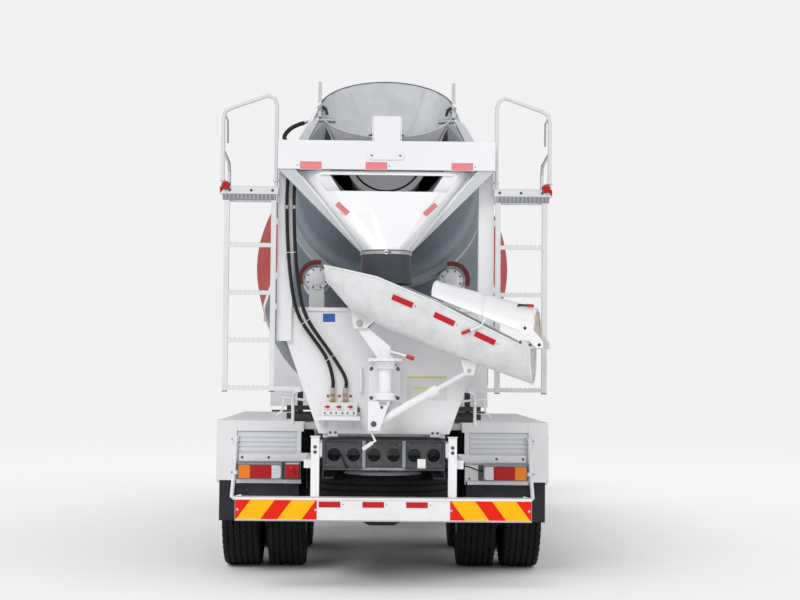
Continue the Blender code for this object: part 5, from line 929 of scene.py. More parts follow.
def beam_trim():
    trim = Piece("beam_bracket", PAINT_HIGH, DARK_STEEL, y=BEAM_Y)
    trim.prism([((0.093 if math.cos(angle) > 0 else -0.103) + 0.03 * math.cos(angle), -0.0003,
                 3.056 + 0.03 * math.sin(angle)) for angle in fan(24)[:-1]], (0, -0.007, 0))
    for x in (-0.105, 0.093):
        trim.rod((x, -0.007, 3.056), (x, -0.009, 3.056), 0.012)
        trim.rod((x, -0.008, 3.056), (x, -0.0125, 3.056), 0.006, mat=1)
        trim.rod((x - 0.01, -0.011, 3.056), (x + 0.01, -0.011, 3.056), 0.002, mat=1)
    trim.boxes((-0.7605, 0.7605, -0.0005, 0.004, 2.9572, 2.965))
    trim.slats(2, (0.2, 0, 0), -0.103, -0.097, 0.0005, 0.012, 3.16, 3.33)
    trim.done("white_paint", 0.001)
    column = Piece("column_edges", PAINT_HIGH, DARK_STEEL)
    for column.side in HANDS.values():
        column.boxes((0.656, 0.664, -3.8235, -3.722, 1.99, 2.955),
                     (0.756, 0.764, -3.8235, -3.722, 1.762, 2.789))
        column.bolts(product((0.71,), (-3.8202,), (2.05, 2.35, 2.65, 2.9)), BACK, 0.007, 0.005)
    column.done("white_paint", 0.001)


RIM_MIDDLE = Vector((0, -3.5875, 3.445))
RIM_SLOPE = Vector((0, 0.515, 0.49))
COLLAR_Z = 3.098


def rim_point(half_wide, inset, angle):
    """A point of the charging hopper's leaning oval rim."""
    return (RIM_MIDDLE + Vector((half_wide * math.cos(angle), 0, 0))
            + RIM_SLOPE.normalized() * (RIM_SLOPE.length / 2 - inset) * math.sin(angle))


def hopper_trim():
    """Rolled lip, seams, latches and the spring tubes beside the arms."""
    lip = Piece("hopper_lip", HOPPER_DARK, GREY_PAINT, DARK_STEEL)
    ring = [rim_point(0.489, 0.001, angle) for angle in fan(64)]
    lip.path(ring[:33], 0.007, 8)
    lip.path(ring[32:], 0.0055, 8, 1)
    for angle in (0.3 * math.pi, 0.7 * math.pi):
        start = rim_point(0.478, 0.02, angle)
        end = Vector((0, -3.56, 3.045)) + Vector((math.cos(angle), 0, math.sin(angle))) * 0.25
        lip.path([start.lerp(end, share) for share in (0.02, 0.5, 0.9)], 0.0012, 6, 1)
    lip.done("hopper_paint")
    latches = Piece("hopper_latches", DARK_PAINT, PAINT_HIGH, GALVANISED)
    for latches.side in HANDS.values():
        latches.prism(flat(-3.66, (0.462, 3.462), (0.43, 3.44), (0.418, 3.392), (0.44, 3.392), (0.446, 3.42),
                           (0.47, 3.44)), (0, 0.02, 0))
        latches.rod((0.492, -3.664, 3.352), (0.368, -3.664, 3.346), 0.017, mat=2)
        latches.rod((0.5, -3.664, 3.3525), (0.49, -3.664, 3.352), 0.022, mat=1)
        latches.prism(flat(-3.69, (0.492, 3.47), (0.47, 3.48), (0.59, 3.21), (0.63, 3.21)), (0, 0.007, 0), 1)
        latches.rod((0.488, -3.693, 3.44), (0.488, -3.68, 3.44), 0.012, mat=2)
        latches.path([(0.44, -3.68, 3.32), (0.4, -3.682, 3.24), (0.375, -3.69, 3.17)], 0.011, 12, 2)
        latches.prism(flat(-3.686, (0.44, 3.3), (0.38, 3.23), (0.39, 3.17), (0.425, 3.17)), (0, 0.012, 0))
    latches.done("hopper_paint", 0.0015)
    spout = Piece("spout_trim", PAINT_HIGH, PALE_LENS, DARK_STEEL, PLATE_WHITE)
    facing = Vector((0, -0.884, -0.468))
    along = Vector((0.66, 0, 0.75))
    along = (along - facing * along.dot(facing)).normalized()
    centre = Vector((0.292, -4.094, 2.662)) + facing * 0.006
    for spout.side in HANDS.values():
        on_plane(spout, centre, along, along.cross(facing), 0.074, 0.022, 0.0015, 3)
        on_plane(spout, centre + facing * 0.0015, along, along.cross(facing), 0.07, 0.018, 0.0015, 1)
    spout.rod((0, -4.228, 2.362), (0, -4.242, 2.362), 0.016, sides=24, chamfer=0.002)
    spout.done("white_paint", 0.0005)
    collar = Piece("feed_collar", PAINT_HIGH, FLAP_RUBBER, PAINTED_SHADE_GREY)
    # The dark band in flap rubber is a painted shadow of the gap round the feed pipe's rim
    for low, high, mat, y in ((0.12, 0.256, 0, -3.735), (0.256, 0.27, 1, -3.739), (0.27, 0.305, 0, -3.741)):
        for first, second in pairwise(math.radians(turn) for turn in range(-152, -27, 4)):
            spots = [(low, first), (high, first), (high, second), (low, second)]
            spots = [(radius * math.cos(angle), COLLAR_Z + radius * math.sin(angle))
                     for radius, angle in spots]
            if low == 0.12:
                spots[0] = (spots[0][0], 2.97)
                spots[3] = (spots[3][0], 2.97)
            collar.prism(flat(y, *spots), (0, 0.03, 0), mat)
    for collar.side in HANDS.values():
        collar.prism(flat(-3.9575, (0.43, 2.795), (0.505, 2.9255), (0.4, 2.9255), (0.315, 2.795)),
                     (0, 0.005, 0))
    # A dark strip over the spout's top edge: painted shade, so that the opening under the beam reads as
    # reaching up to the beam
    collar.boxes((-0.4, 0.4, -3.956, -3.952, 2.919, 2.956, 2))
    collar.done("white_paint", smooth=20)
    band = Piece("skirt_band", STEEL, DARK_STEEL)
    band.lathe([(0.1755, 2.35), (0.1785, 2.35), (0.1785, 2.372), (0.1755, 2.372)], (0, -4.06, 0), UP)
    band.rod((-0.012, -4.2405, 2.361), (0.03, -4.2405, 2.361), 0.005, mat=1)
    band.done("flap_rubber", 0.0005)


def roller_trim():
    """Flanged bearing housings and the curved guards of the support rollers."""
    centre = Vector((0.522528, -2.617869, 2.242879))
    face = centre - DRUM_AXIS * 0.088
    for flange in pair("roller_housing", PAINT_HIGH, DARK_STEEL, GUARD):
        flange.lathe([(0.0, 0.0), (0.084, 0.0), (0.088, -0.004), (0.088, -0.01), (0.06, -0.014),
                      (0.052, -0.026), (0.02, -0.03), (0.0, -0.03)], face, DRUM_AXIS, 40)
        nuts(flange, face - DRUM_AXIS * 0.01, -DRUM_AXIS, 0.073, 8, 0.007, 0.007)
        for ends in pairwise(fan(14, math.radians(125), math.radians(-20))):
            corners = product(ends, (0.112, 0.146))
            inner, outer, far_inner, far_outer = [
                centre - DRUM_AXIS * 0.1 + Vector((math.cos(angle), 0, math.sin(angle))) * radius
                for angle, radius in corners]
            flange.prism([inner, outer, far_outer, far_inner], DRUM_AXIS * 0.012, 2)
        flange.done("white_paint", 0.001)


# Chute, swivel and jack

POST = Vector((0, -4.09, 0))
CHUTE_HEADING = math.radians(-12)
CHUTE_AHEAD = polar(1, CHUTE_HEADING)
CHUTE_LEFT = Vector((-CHUTE_AHEAD.y, CHUTE_AHEAD.x, 0))
# columns: distance along, half width, height of the rim, height of the floor
TROUGH = ((-0.4, 0.15, 2.27, 2.15), (-0.24, 0.26, 2.235, 1.97), (0.0, 0.29, 2.18, 1.85),
          (0.4, 0.235, 2.01, 1.69), (1.02, 0.205, 1.7, 1.475))
FOLDED = ((0.36, 0.215, 2.06, 2.17), (1.05, 0.24, 1.79, 1.985))


def chute_at(along, across, height):
    return POST + Vector((0, 0, height)) + CHUTE_AHEAD * along + CHUTE_LEFT * across


def wall_point(sections, along, angle, out=0.0):
    """A point of the trough's wall: angle 0 is its left rim, 180 its right rim."""
    low, high = next(ends for ends in pairwise(sections) if along <= ends[1][0] or ends[1] is sections[-1])
    half, rim, floor = Vector(low[1:]).lerp(Vector(high[1:]), (along - low[0]) / (high[0] - low[0]))
    turn = math.radians(angle)
    point = chute_at(along, half * math.cos(turn), rim + (floor - rim) * math.sin(turn))
    lift = Vector((0, 0, math.copysign(math.sin(turn), floor - rim)))
    return point + (CHUTE_LEFT * math.cos(turn) + lift) * out


def chute_bolts(piece, rows):
    """Bolts on both sides, from rows of along, half width, height, size, head and material."""
    for (along, across, height, size, head, mat), sign in product(rows, (-1, 1)):
        piece.bolts([chute_at(along, sign * across, height)], CHUTE_LEFT * sign, size, head, mat)


def chute_trim():
    trim = Piece("chute_trim", CHUTE_PAINT, DARK_STEEL, STEEL)
    for angle in (0, 180):
        trim.path([wall_point(TROUGH, along, angle) for along in (-0.4, -0.24, 0, 0.4, 0.7, 1.02)], 0.0075)
    for along, radius in ((-0.397, 0.0045), (-0.06, 0.0025), (1.016, 0.008)):
        trim.path([wall_point(TROUGH, along, angle, 0.002) for angle in range(0, 181, 30)], radius, 8)
    chute_bolts(trim, ((0.955, 0.2032, 1.73, 0.007, 0.005, 1), (0.955, 0.2032, 1.752, 0.007, 0.005, 1),
                       (1.02, 0.2032, 1.735, 0.007, 0.005, 1), (-0.17, 0.05, 1.88, 0.017, 0.01, 2),
                       (0.59, 0.0365, 1.56, 0.009, 0.006, 2)))
    trim.done("hopper_paint", body="chute", smooth=40)
    strips = Piece("chute_reflectors", PLATE_WHITE, RED_LENS, DARK_STEEL)
    for along in (0.167, 0.447, 0.72):
        rim, low = (wall_point(TROUGH, along, angle) for angle in (180, 150))
        ahead = (wall_point(TROUGH, along + 0.05, 165) - wall_point(TROUGH, along - 0.05, 165)).normalized()
        up = rim - low
        up = (up - ahead * up.dot(ahead)).normalized()
        reflector(strips, rim.lerp(low, 0.52) + ahead.cross(up) * 0.0045, ahead, up)
    strips.done("lamp_plastic", 0.0006, body="chute")


def extension_trim():
    trim = Piece("extension_trim", PAINT_HIGH, DARK_PAINT, HANDLE_RED, LIP_YELLOW)
    for angle in (0, 180):
        trim.path([wall_point(FOLDED, along, angle, -0.0055) for along in (0.36, 0.7, 1.05)], 0.0055)
    for along, out, radius in ((0.362, 0.001, 0.006), (0.7, 0.004, 0.005)):
        trim.path([wall_point(FOLDED, along, angle, out) for angle in range(0, 181, 15)], radius, 8)
    for start in (120, 0):
        trim.path([wall_point(FOLDED, 1.046, start + turn, -0.0055) for turn in (60, 45, 30, 15, 0)],
                  0.006, 10, 3)
    latch = [wall_point(FOLDED, 0.93, 120, 0.012), wall_point(FOLDED, 1.005, 112, 0.018)]
    trim.rod(*latch, 0.008, mat=1)
    trim.path([wall_point(FOLDED, 0.93, 120), latch[0]], 0.006, 8, 1)
    lever = [wall_point(FOLDED, 0.725, 180, 0.004), wall_point(TROUGH, 0.7, 180, 0.016),
             wall_point(TROUGH, 0.575, 159, 0.018)]
    trim.path(lever, 0.0065)
    for start, end, low, high, radius in ((*latch, 0.72, 1.35, 0.011), (*lever[1:], 0.6, 1.08, 0.0115)):
        trim.rod(start.lerp(end, low), start.lerp(end, high), radius, mat=2, chamfer=0.003)
    chute_bolts(trim, ((1.085, 0.237, 1.735, 0.012, 0.003, 1), (0.99, 0.2385, 1.845, 0.007, 0.005, 1)))
    trim.done("white_paint", body="chute_extension", smooth=40)


def swivel_trim():
    trim = Piece("swivel_trim", PAINT_HIGH, DARK_STEEL, HANDLE_RED, STEEL)
    trim.rod(chute_at(0.156, -0.0343, 1.6563), chute_at(0.21, -0.0413, 1.638), 0.0145, mat=2, chamfer=0.004)
    chute_bolts(trim, ((-0.065, 0.0502, 1.19, 0.014, 0.01, 1), (-0.01, 0.0502, 1.305, 0.008, 0.006, 1)))
    trim.lathe([(0.0452, 1.64), (0.062, 1.64), (0.062, 1.652), (0.0452, 1.66)], POST, UP, 40)
    trim.lathe([(0.0452, 1.323), (0.058, 1.323), (0.058, 1.34), (0.0452, 1.343)], POST, UP, 40, 3)
    trim.rod((0, -4.09, 1.7), (0, -4.09, 1.712), 0.014, mat=3)
    trim.done("white_paint", 0.001, body="chute_swivel")
    ears = Piece("bearing_trim", PAINT_HIGH, DARK_STEEL)
    ears.bolts(product((-0.092, 0.092), (-3.9104,), (1.365, 1.57)), BACK, 0.009, 0.007, 1)
    for z in (1.38, 1.594):
        ears.rod((0.07, -4.09, z), (0.08, -4.092, z), 0.005, mat=1)
    ears.done("white_paint", 0.0005)


THREAD_TURNS = 26
THREAD_SIDES = 14


def jack_trim():
    foot = chute_at(-0.065, 0, 1.19)
    eye = chute_at(0.59, 0, 1.56)
    along = (eye - foot).normalized()
    end = (eye - foot).length * 0.66
    collar = Piece("jack_collar", PAINT_HIGH, DARK_STEEL)
    collar.lathe([(0.0302, end - 0.07), (0.034, end - 0.066), (0.034, end - 0.004), (0.031, end + 0.001),
                  (0.0205, end + 0.003), (0.0205, end - 0.002)], foot, along, 32)
    collar.lathe([(0.0302, -0.026), (0.0335, -0.024), (0.0335, 0.01), (0.0302, 0.012)], foot, along, 32)
    nipple = foot + along * 0.2
    collar.rod(nipple + Vector((0, 0, 0.028)), nipple + Vector((0, 0, 0.04)), 0.005, mat=1)
    collar.done("bare_steel", 0.0008, body="jack_tube")
    thread = Piece("jack_thread", STEEL)
    side = along.orthogonal().normalized()
    frame_turn = Matrix((side, along.cross(side), along)).transposed()
    steps = THREAD_TURNS * THREAD_SIDES
    thread.path([foot + frame_turn @ polar(0.0169, angle, 0.515 + 0.195 * step / steps)
                 for step, angle in enumerate(fan(steps, 2 * math.pi * THREAD_TURNS))], 0.0013, 4)
    thread.done("bare_steel", body="jack_rod")


# Ladders, platforms, tanks

LADDER_Y = -3.86


def ladder_trim():
    for trim in pair("ladder_trim", LADDER_PAINTED_SHADE, DARK_STEEL, RED_LENS, GALVANISED, GRATING_GREY, y=LADDER_Y):
        for rung in range(4):
            z = 1.4385 + rung * 0.335
            trim.slats(9, (0.033, 0, 0), 0.815, 0.83, -0.0135, 0.0135, z, z + 0.003, 3)
        for x in (0.79, 1.12):
            trim.rod((x, 0, 1.4), (x, 0, 1.4075), 0.019, sides=20, mat=1)
        trim.bolts(product((0.8, 0.95, 1.1), (-0.0202,), (2.815,)), BACK, 0.007, 0.005, 1)
        trim.slats(5, (0, 0.125, 0), 0.775, 1.155, 0.005, 0.017, 2.84, 2.845, 3)
        trim.slats(5, (0.07, 0, 0), 0.83, 0.836, 0.01, 0.51, 2.834, 2.842, 3)
        trim.rod((1.128, -0.0435, 2.846), (1.128, -0.0535, 2.846), 0.024, 0.02, 24, 2, 0.003)
        trim.rod((1.128, -0.0385, 2.846), (1.128, -0.0445, 2.846), 0.028, 0.027, 24, 1)
        trim.path(flat(0.003, (1.152, 3.37), (1.122, 3.31), (1.12, 3.15)), 0.007, 8, 3)
        trim.boxes((0.776, 1.149, -0.0195, -0.0162, 2.7455, 2.7945, 4))
        trim.slats(13, (0.0285, 0, 0), 0.782, 0.794, -0.022, -0.018, 2.75, 2.79, 3)
        for x in (0.777, 1.153):
            trim.lathe([(0.0142, 2.88), (0.022, 2.88), (0.022, 2.89), (0.0142, 2.898)],
                       (x, 0.002, 0), UP, 20)
        trim.done("white_paint", 0.0008)


def bands(piece, radius, start, axis, places, half, rise, sides=48, mat=0, lean=0.0):
    """Flat bands round a cylinder."""
    for place in places:
        piece.lathe([(radius, place - half), (radius + rise, place - half + lean),
                     (radius + rise, place + half - lean), (radius, place + half)], start, axis, sides, mat)


def water_tank_trim():
    trim = Piece("water_tank_trim", STEEL, PAINT, DARK_STEEL, HOSE)
    centre = (0, 2.4, 2.64)
    bands(trim, 0.2302, centre, OUT, (-0.59, 0.59), 0.02, 0.0033, 64)
    trim.bolts(product((-0.59, 0.59), (2.4,), (2.8735,)), UP, 0.009, 0.01, 2)
    bands(trim, 0.2302, centre, OUT, (-0.7, 0.7), 0.004, 0.0023, 64, 1, 0.002)
    trim.rod((-0.25, 2.4, 2.866), (-0.25, 2.4, 2.905), 0.045, sides=32, mat=1, chamfer=0.004)
    trim.rod((-0.25, 2.4, 2.905), (-0.25, 2.4, 2.925), 0.052, sides=32, mat=2, chamfer=0.005)
    trim.path([(-0.66, y, z) for y, z in ((2.18, 2.57), (2.16, 2.6), (2.16, 2.72), (2.2, 2.745))],
              0.008, 10, 3)
    trim.path(curve_through(6, (0, 2.2, 2.53), (0.05, 2.15, 2.48), (0.22, 2.17, 2.4), (0.26, 2.22, 2.2),
                            (0.25, 2.19, 1.85)), 0.012, 10, 3)
    trim.done("white_paint", 0.0008)
    drive = Piece("gearbox_trim", DARK_STEEL, STEEL, HOSE)
    nuts(drive, RING_CENTRE + DRUM_AXIS * 4.716, -DRUM_AXIS, 0.221, 14, 0.009, 0.008)
    bands(drive, 0.2402, RING_CENTRE, DRUM_AXIS, (4.782, 4.872), 0.012, 0.0078, lean=0.004)
    for turn in (-0.045, 0.045):
        start = RING_CENTRE + DRUM_AXIS * 5.08 + Vector((turn, 0, 0.06))
        drive.path(curve_through(6, *(start + Vector(move) for move in (
            (0, 0, 0), (0, 0.015, 0.06), (turn, 0.05, 0.12), (turn * 3, 0.04, 0.02),
            (turn * 4, 0.03, -0.25)))), 0.011, 10, 2)
    drive.done("gearbox_iron", 0.0008)


def rounded_strap(piece, centre, half_x, half_z, corner, y, wide, thick):
    """A flat band round a tank with rounded corners, square to Y."""
    def outline(grow):
        return [(centre[0] + turn_x * (half_x - corner) + (corner + grow) * math.cos(angle), y,
                 centre[1] + turn_z * (half_z - corner) + (corner + grow) * math.sin(angle))
                for quarter, (turn_x, turn_z) in enumerate(((1, 1), (-1, 1), (-1, -1), (1, -1)))
                for angle in fan(4, math.pi / 2, math.pi / 2 * quarter)]
    inner = outline(0.0)
    outer = outline(thick)
    for index in range(len(inner)):
        piece.prism([inner[index - 1], outer[index - 1], outer[index], inner[index]], (0, wide, 0))


def side_equipment():
    tank = Piece("fuel_tank_trim", STEEL, DARK_STEEL, FLAP_RUBBER)
    for y in (0.98, 1.68):
        rounded_strap(tank, (-0.88, 0.75), 0.32, 0.27, 0.07, y, 0.045, 0.003)
        tank.rod((-1.2035, y + 0.022, 0.7), (-1.2035, y + 0.022, 0.76), 0.008, mat=1)
    tank.rod((-1.01, 1.35, 1.018), (-1.01, 1.35, 1.04), 0.06, sides=32, chamfer=0.004)
    tank.rod((-1.01, 1.35, 1.04), (-1.01, 1.35, 1.072), 0.055, sides=12, mat=1, chamfer=0.008)
    tank.slats(2, (0, 0, 0.26), -1.208, -1.195, 1.1, 1.6, 0.54, 0.552, 1)
    tank.done("tank_aluminium", 0.001)
    box = Piece("battery_box_trim", DARK_PAINT, DARK_STEEL, FLAP_RUBBER)
    box.boxes((0.612, 1.188, 1.342, 1.958, 0.952, 0.968), (0.612, 1.188, 1.342, 1.958, 0.93, 0.936),
              (0.9, 1.17, 1.38, 1.92, 0.9675, 0.9705, 1))
    for y in (1.45, 1.85):
        box.boxes((1.18, 1.192, y - 0.012, y + 0.012, 0.88, 0.955, 2))
        box.rod((1.192, y, 0.89), (1.192, y, 0.935), 0.007, mat=1)
    box.slats(4, (0, 0, 0.08), 1.1795, 1.1845, 1.4, 1.9, 0.6, 0.618)
    box.slats(8, (0, 0.06, 0), 0.93, 1.14, 1.42, 1.44, 0.97, 0.974, 1)
    box.done("chassis_paint", 0.0015)
    air = Piece("air_tank_trim", DARK_STEEL, BRASS_METAL)
    bands(air, 0.1402, (0.86, 0, 0.72), AHEAD, (0.56, 1.15), 0.018, 0.0023)
    air.dome((0.86, 0.3505, 0.72), BACK, 0.136, 0.03, 40)
    air.rod((0.86, 0.7, 0.58), (0.86, 0.7, 0.566), 0.01, sides=6, mat=1)
    air.done("chassis_paint", 0.0005)
    for rails, front in zip(pair("side_guard_trim", GALVANISED, AMBER_LENS, DARK_STEEL), (0.8, 1.4)):
        for z in (0.56, 0.76):
            rails.boxes((1.1395, 1.1705, -0.164, -0.158, z - 0.001, z + 0.091, 2),
                        (1.1695, 1.1712, -0.15, front - 0.004, z + 0.04, z + 0.05))
            rails.bolts(product((1.1702,), (-0.015, 0.015), (z + 0.068,)), OUT, 0.007, 0.005, 2)
        on_plane(rails, Vector((1.1705, front * 0.45, 0.824)), Vector(AHEAD), Vector(UP),
                 0.05, 0.018, 0.006, 1)
        rails.done("chassis_paint", 0.001)
    springs = Piece("spring_bolts", DARK_STEEL)
    # columns: inner x, outer x, y of both bows, foot, top, radius
    for left, right, places, foot, top, radius in ((0.34, 0.44, (2.86, 3.02), 0.45, 0.584, 0.009),
                                                   (0.448, 0.572, (-1.475, -1.595), 0.5, 0.782, 0.01)):
        for springs.side, y in product(HANDS.values(), places):
            springs.path(flat(y, (left, foot), (left, top - 0.012), (left + 0.012, top), (right - 0.012, top),
                              (right, top - 0.012), (right, foot))[::springs.side], radius)
    springs.done("chassis_paint")
    engine = Piece("engine_ribs", CAST, DARK_STEEL)
    engine.slats(10, (0, 0.092, 0), -0.322, 0.322, 2.96, 2.982, 1.098, 1.112)
    for engine.side in HANDS.values():
        engine.slats(10, (0, 0.092, 0), 0.318, 0.33, 2.96, 2.982, 0.7, 1.06)
    engine.boxes((-0.335, 0.335, 2.92, 3.88, 0.69, 0.705, 1))
    engine.done("engine_iron", 0.003)


# Cab

WINDOW = ((3.4, 1.92), (4.09, 1.92), (3.9, 2.54), (3.4, 2.56))
FRONT_GUARD = 0.672


def screen_at(x, z, out=0.0):
    """A point on the cab's sloping front."""
    return Vector((x, 4.42 - 0.3 * (z - 1.95) / 0.84, z)) + Vector((0, 0.9417, 0.3363)) * out


def cab_front():
    front = Piece("cab_front_trim", FLAP_RUBBER, DARK_PAINT, PAINT, AMBER_LENS, CLEAR_LENS, GALVANISED)
    seal = [screen_at(x, z) for x, z in ((-1.05, 1.99), (1.05, 1.99), (1.05, 2.68), (-1.05, 2.68),
                                         (-1.05, 1.99))]
    for ends in pairwise(seal):
        front.path(ends, 0.01)
    for x in (-0.56, 0.16):
        pivot = screen_at(x, 1.965, 0.006)
        tip = screen_at(x + 0.52, 2.23, 0.014)
        front.rod(pivot, screen_at(x, 1.965, 0.034), 0.014, 0.011, mat=1)
        front.path([screen_at(x, 1.968, 0.026), pivot.lerp(tip, 0.3) + Vector((0, 0.024, 0)), tip],
                   0.006, 8, 1)
        front.path([screen_at(x + 0.26, 2.07, 0.007), tip, screen_at(x + 0.71, 2.33, 0.007)], 0.006, 6)
    front.prism([screen_at(-1.09, z, out)
                 for z, out in ((2.7, 0.002), (2.625, 0.12), (2.616, 0.12), (2.69, 0.002))],
                (2.18, 0, 0), 1)
    for x in (-1.0, -0.35, 0.35, 1.0):
        front.path([screen_at(x, 2.735), screen_at(x, 2.665, 0.06)], 0.007, 8, 5)
    front.boxes((-1.18, 1.18, 4.4585, 4.4635, 1.448, 1.454), (-0.664, 0.664, 4.4585, 4.466, 1.425, 1.44, 2),
                (-0.664, 0.664, 4.4585, 4.466, 1.184, 1.198, 2), (-0.42, 0.42, 3.3, 3.7, 2.8995, 2.915, 1))
    front.slats(4, (0.6, 0, 0), -0.955, -0.845, 3.905, 3.945, 2.8995, 2.925, 3)
    for front.side in HANDS.values():
        front.boxes((0.642, 0.664, 4.4585, 4.466, 1.184, 1.44, 2), (0.9, 1.12, 4.4585, 4.47, 1.48, 1.5, 1),
                    (1.14, 1.2165, 4.4, 4.464, 1.53, 1.64, 3))
        front.path([(0.9, y, z) for y, z in ((4.462, 1.56), (4.492, 1.57), (4.492, 1.7), (4.452, 1.712))],
                   0.009, 12, 1)
        front.rod((0.62, 3.25, 2.899), (0.62, 3.25, 2.925), 0.05, 0.035, 24, 3)
    front.done("white_paint", 0.003, body="cab")

    bumper = Piece("bumper_trim", DARK_PAINT, CLEAR_LENS, AMBER_LENS, GALVANISED, PAINT, PAINTED_SHADE_BLACK)
    for bumper.side in HANDS.values():
        bumper.boxes((0.776, 1.154, 4.4985, 4.513, 0.652, 0.662), (0.776, 1.154, 4.4985, 4.513, 0.798, 0.808),
                     (0.772, 0.782, 4.4985, 4.513, 0.652, 0.808), (1.148, 1.158, 4.4985, 4.513, 0.652, 0.808),
                     (0.6, 0.74, 4.4985, 4.508, 0.5, 0.58), (0.61, 0.73, 4.507, 4.512, 0.51, 0.57, 1))
        for x in (0.87, 1.01):
            bumper.rod((x, 4.514, 0.728), (x, 4.5149, 0.728), 0.05, sides=32, mat=3)
        for z in (0.5005, 0.8505):
            bumper.boxes((0.965, 1.19, 3.665, 4.165, z - 0.001, z + 0.003, 3))
            bumper.slats(12, (0, 0.04, 0), 0.975, 1.18, 3.68, 3.694, z + 0.002, z + 0.006, 3)
    bumper.side = 1
    # Painted shade: dark slats for the slots across the bumper
    bumper.slats(4, (0, 0, 0.07), -0.56, 0.56, 4.4985, 4.502, 0.6, 0.634, 5)
    bumper.boxes((-0.26, 0.26, 4.499, 4.506, 0.47, 0.58, 4), (-1.222, 1.222, 4.372, 4.503, 0.942, 0.954))
    bumper.done("white_paint", 0.002)

    for guard in pair("front_guard", DARK_PAINT, DARK_STEEL):
        arc = [(2.94 - FRONT_GUARD * math.cos(angle), 0.536 + FRONT_GUARD * math.sin(angle))
               for angle in fan(10, math.radians(66), math.radians(-8))]
        for (back, low), (front, high) in pairwise(arc):
            guard.prism([(0.86, back, low), (0.86, front, high), (0.86, front - 0.006, high + 0.005),
                         (0.86, back - 0.006, low + 0.005)], (0.33, 0, 0))
        guard.rod((0.425, 2.32, 0.86), (1.15, 2.32, 0.86), 0.016, mat=1)
        guard.done("chassis_paint")


def cab_sides():
    for skin in pair("door_trim", FLAP_RUBBER, DARK_PAINT, MIRROR_GLASS, PAINT):
        for ends in pairwise([(1.216, y, z) for y, z in (*WINDOW, WINDOW[0])]):
            skin.path(ends, 0.009)
        skin.boxes((1.2145, 1.218, 3.395, 3.56, 1.74, 1.84, 1), (1.2145, 1.2185, 3.34, 4.16, 1.56, 1.572, 3),
                   (1.2145, 1.2185, 3.34, 4.16, 1.3, 1.308, 3), (1.262, 1.393, 4.1128, 4.1152, 2.26, 2.47, 2),
                   (1.262, 1.393, 4.1128, 4.1152, 2.14, 2.245, 2),
                   (1.2555, 1.3995, 4.11, 4.175, 2.248, 2.257, 1))
        skin.path([(x, y, 1.806) for x, y in ((1.217, 3.405), (1.238, 3.42), (1.238, 3.53), (1.217, 3.55))],
                  0.009, 12, 1)
        skin.path([(1.222, 4.12, 2.42), (1.3, 4.135, 2.44)], 0.009, 10, 1)
        skin.done("white_paint", 0.0015, body=f"door_{skin.hand}")

    for grab in pair("cab_side_trim", DARK_PAINT, FLAP_RUBBER, PAINT):
        grab.path(flat(3.255, (1.214, 1.38), (1.25, 1.4), (1.25, 2.02), (1.214, 2.04)), 0.012, 12)
        grab.boxes((1.2145, 1.218, 2.76, 3.2, 1.7, 1.712, 2))
        grab.slats(7, (0, 0, 0.07), 1.2145, 1.22, 2.78, 3.08, 1.95, 1.984)
        grab.done("white_paint", 0.0015, body="cab")


def pad(name, centre, lean, half, crown, channels):
    """A crowned, sewn cushion: edges pull in between its corners and channels sink in."""
    piece = Piece(name, SEAT_CLOTH)
    bmesh.ops.create_cube(piece.bm, size=2.0)
    bmesh.ops.subdivide_edges(piece.bm, edges=piece.bm.edges[:], cuts=19, use_grid_fill=True)
    turn = Matrix.Rotation(math.radians(lean), 3, "X")
    for vert in piece.bm.verts:
        u, v, w = vert.co
        shrink = (abs(u) ** 7 + abs(v) ** 7 + abs(w) ** 7) ** (-1 / 7)
        x = u * shrink * half[0] * (1 - 0.030 * (1 - v * v))
        y = v * shrink * half[1] * (1 - 0.025 * (1 - u * u))
        height = w * shrink * half[2] + math.copysign(crown, w) * max(0.0, (1 - u * u) * (1 - v * v)) * abs(w)
        if w > 0:
            for depth, seams, across, along in ((0.011, channels, v, u), (0.009, (-0.72, 0.72), u, v)):
                for place in seams:
                    height -= depth * math.exp(-((across - place) / 0.045) ** 2) * (1 - abs(along) ** 8)
        vert.co = Vector(centre) + turn @ Vector((x, y, height))
    made = piece.done("seat_fabric", body="cab", smooth=80)
    finer = made.modifiers.new("smooth", "SUBSURF")
    finer.levels = 1
    finer.render_levels = 1
    return made


def seats():
    # columns: part, distance ahead, height, lean, half sizes, crown, sewn channels
    pads = (("cushion", 3.15, 1.59, 0, (0.232, 0.255, 0.045), 0.008, (-0.35, 0.10, 0.55)),
            ("back", 2.962, 1.86, -80, (0.222, 0.225, 0.048), 0.006, (-0.45, 0.0, 0.45)),
            ("head", 2.916, 2.205, -80, (0.130, 0.085, 0.042), 0.005, ()))
    for hand, side in HANDS.items():
        x = side * 0.66
        made = [pad(f"seat_{part}_{hand}", (x, y, z), *shape) for part, y, z, *shape in pads]
        base = Piece(f"seat_base_{hand}", TRIM, DARK_STEEL)
        base.boxes((x - 0.2, x + 0.2, 2.91, 3.34, 1.1905, 1.235, 1),
                   (x - 0.225, x + 0.225, 2.905, 3.385, 1.49, 1.548))
        for step, grow in enumerate((0.0, 0.012, 0.0, 0.012)):
            z = 1.235 + step * 0.064
            base.boxes((x - 0.165 - grow, x + 0.165 + grow, 2.955 - grow, 3.31 + grow, z, z + 0.064))
        for turn in (-0.07, 0.07):
            base.rod((x + turn, 2.94, 2.05), (x + turn, 2.921, 2.16), 0.007, mat=1)
        base.rod((x + 0.232, 2.96, 1.59), (x - 0.232, 2.96, 1.59), 0.022, sides=20, mat=1)
        made.append(base.done("cab_trim", 0.006, body="cab", segments=3))
        for thing in made:
            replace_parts(thing, f"seat_{hand}")


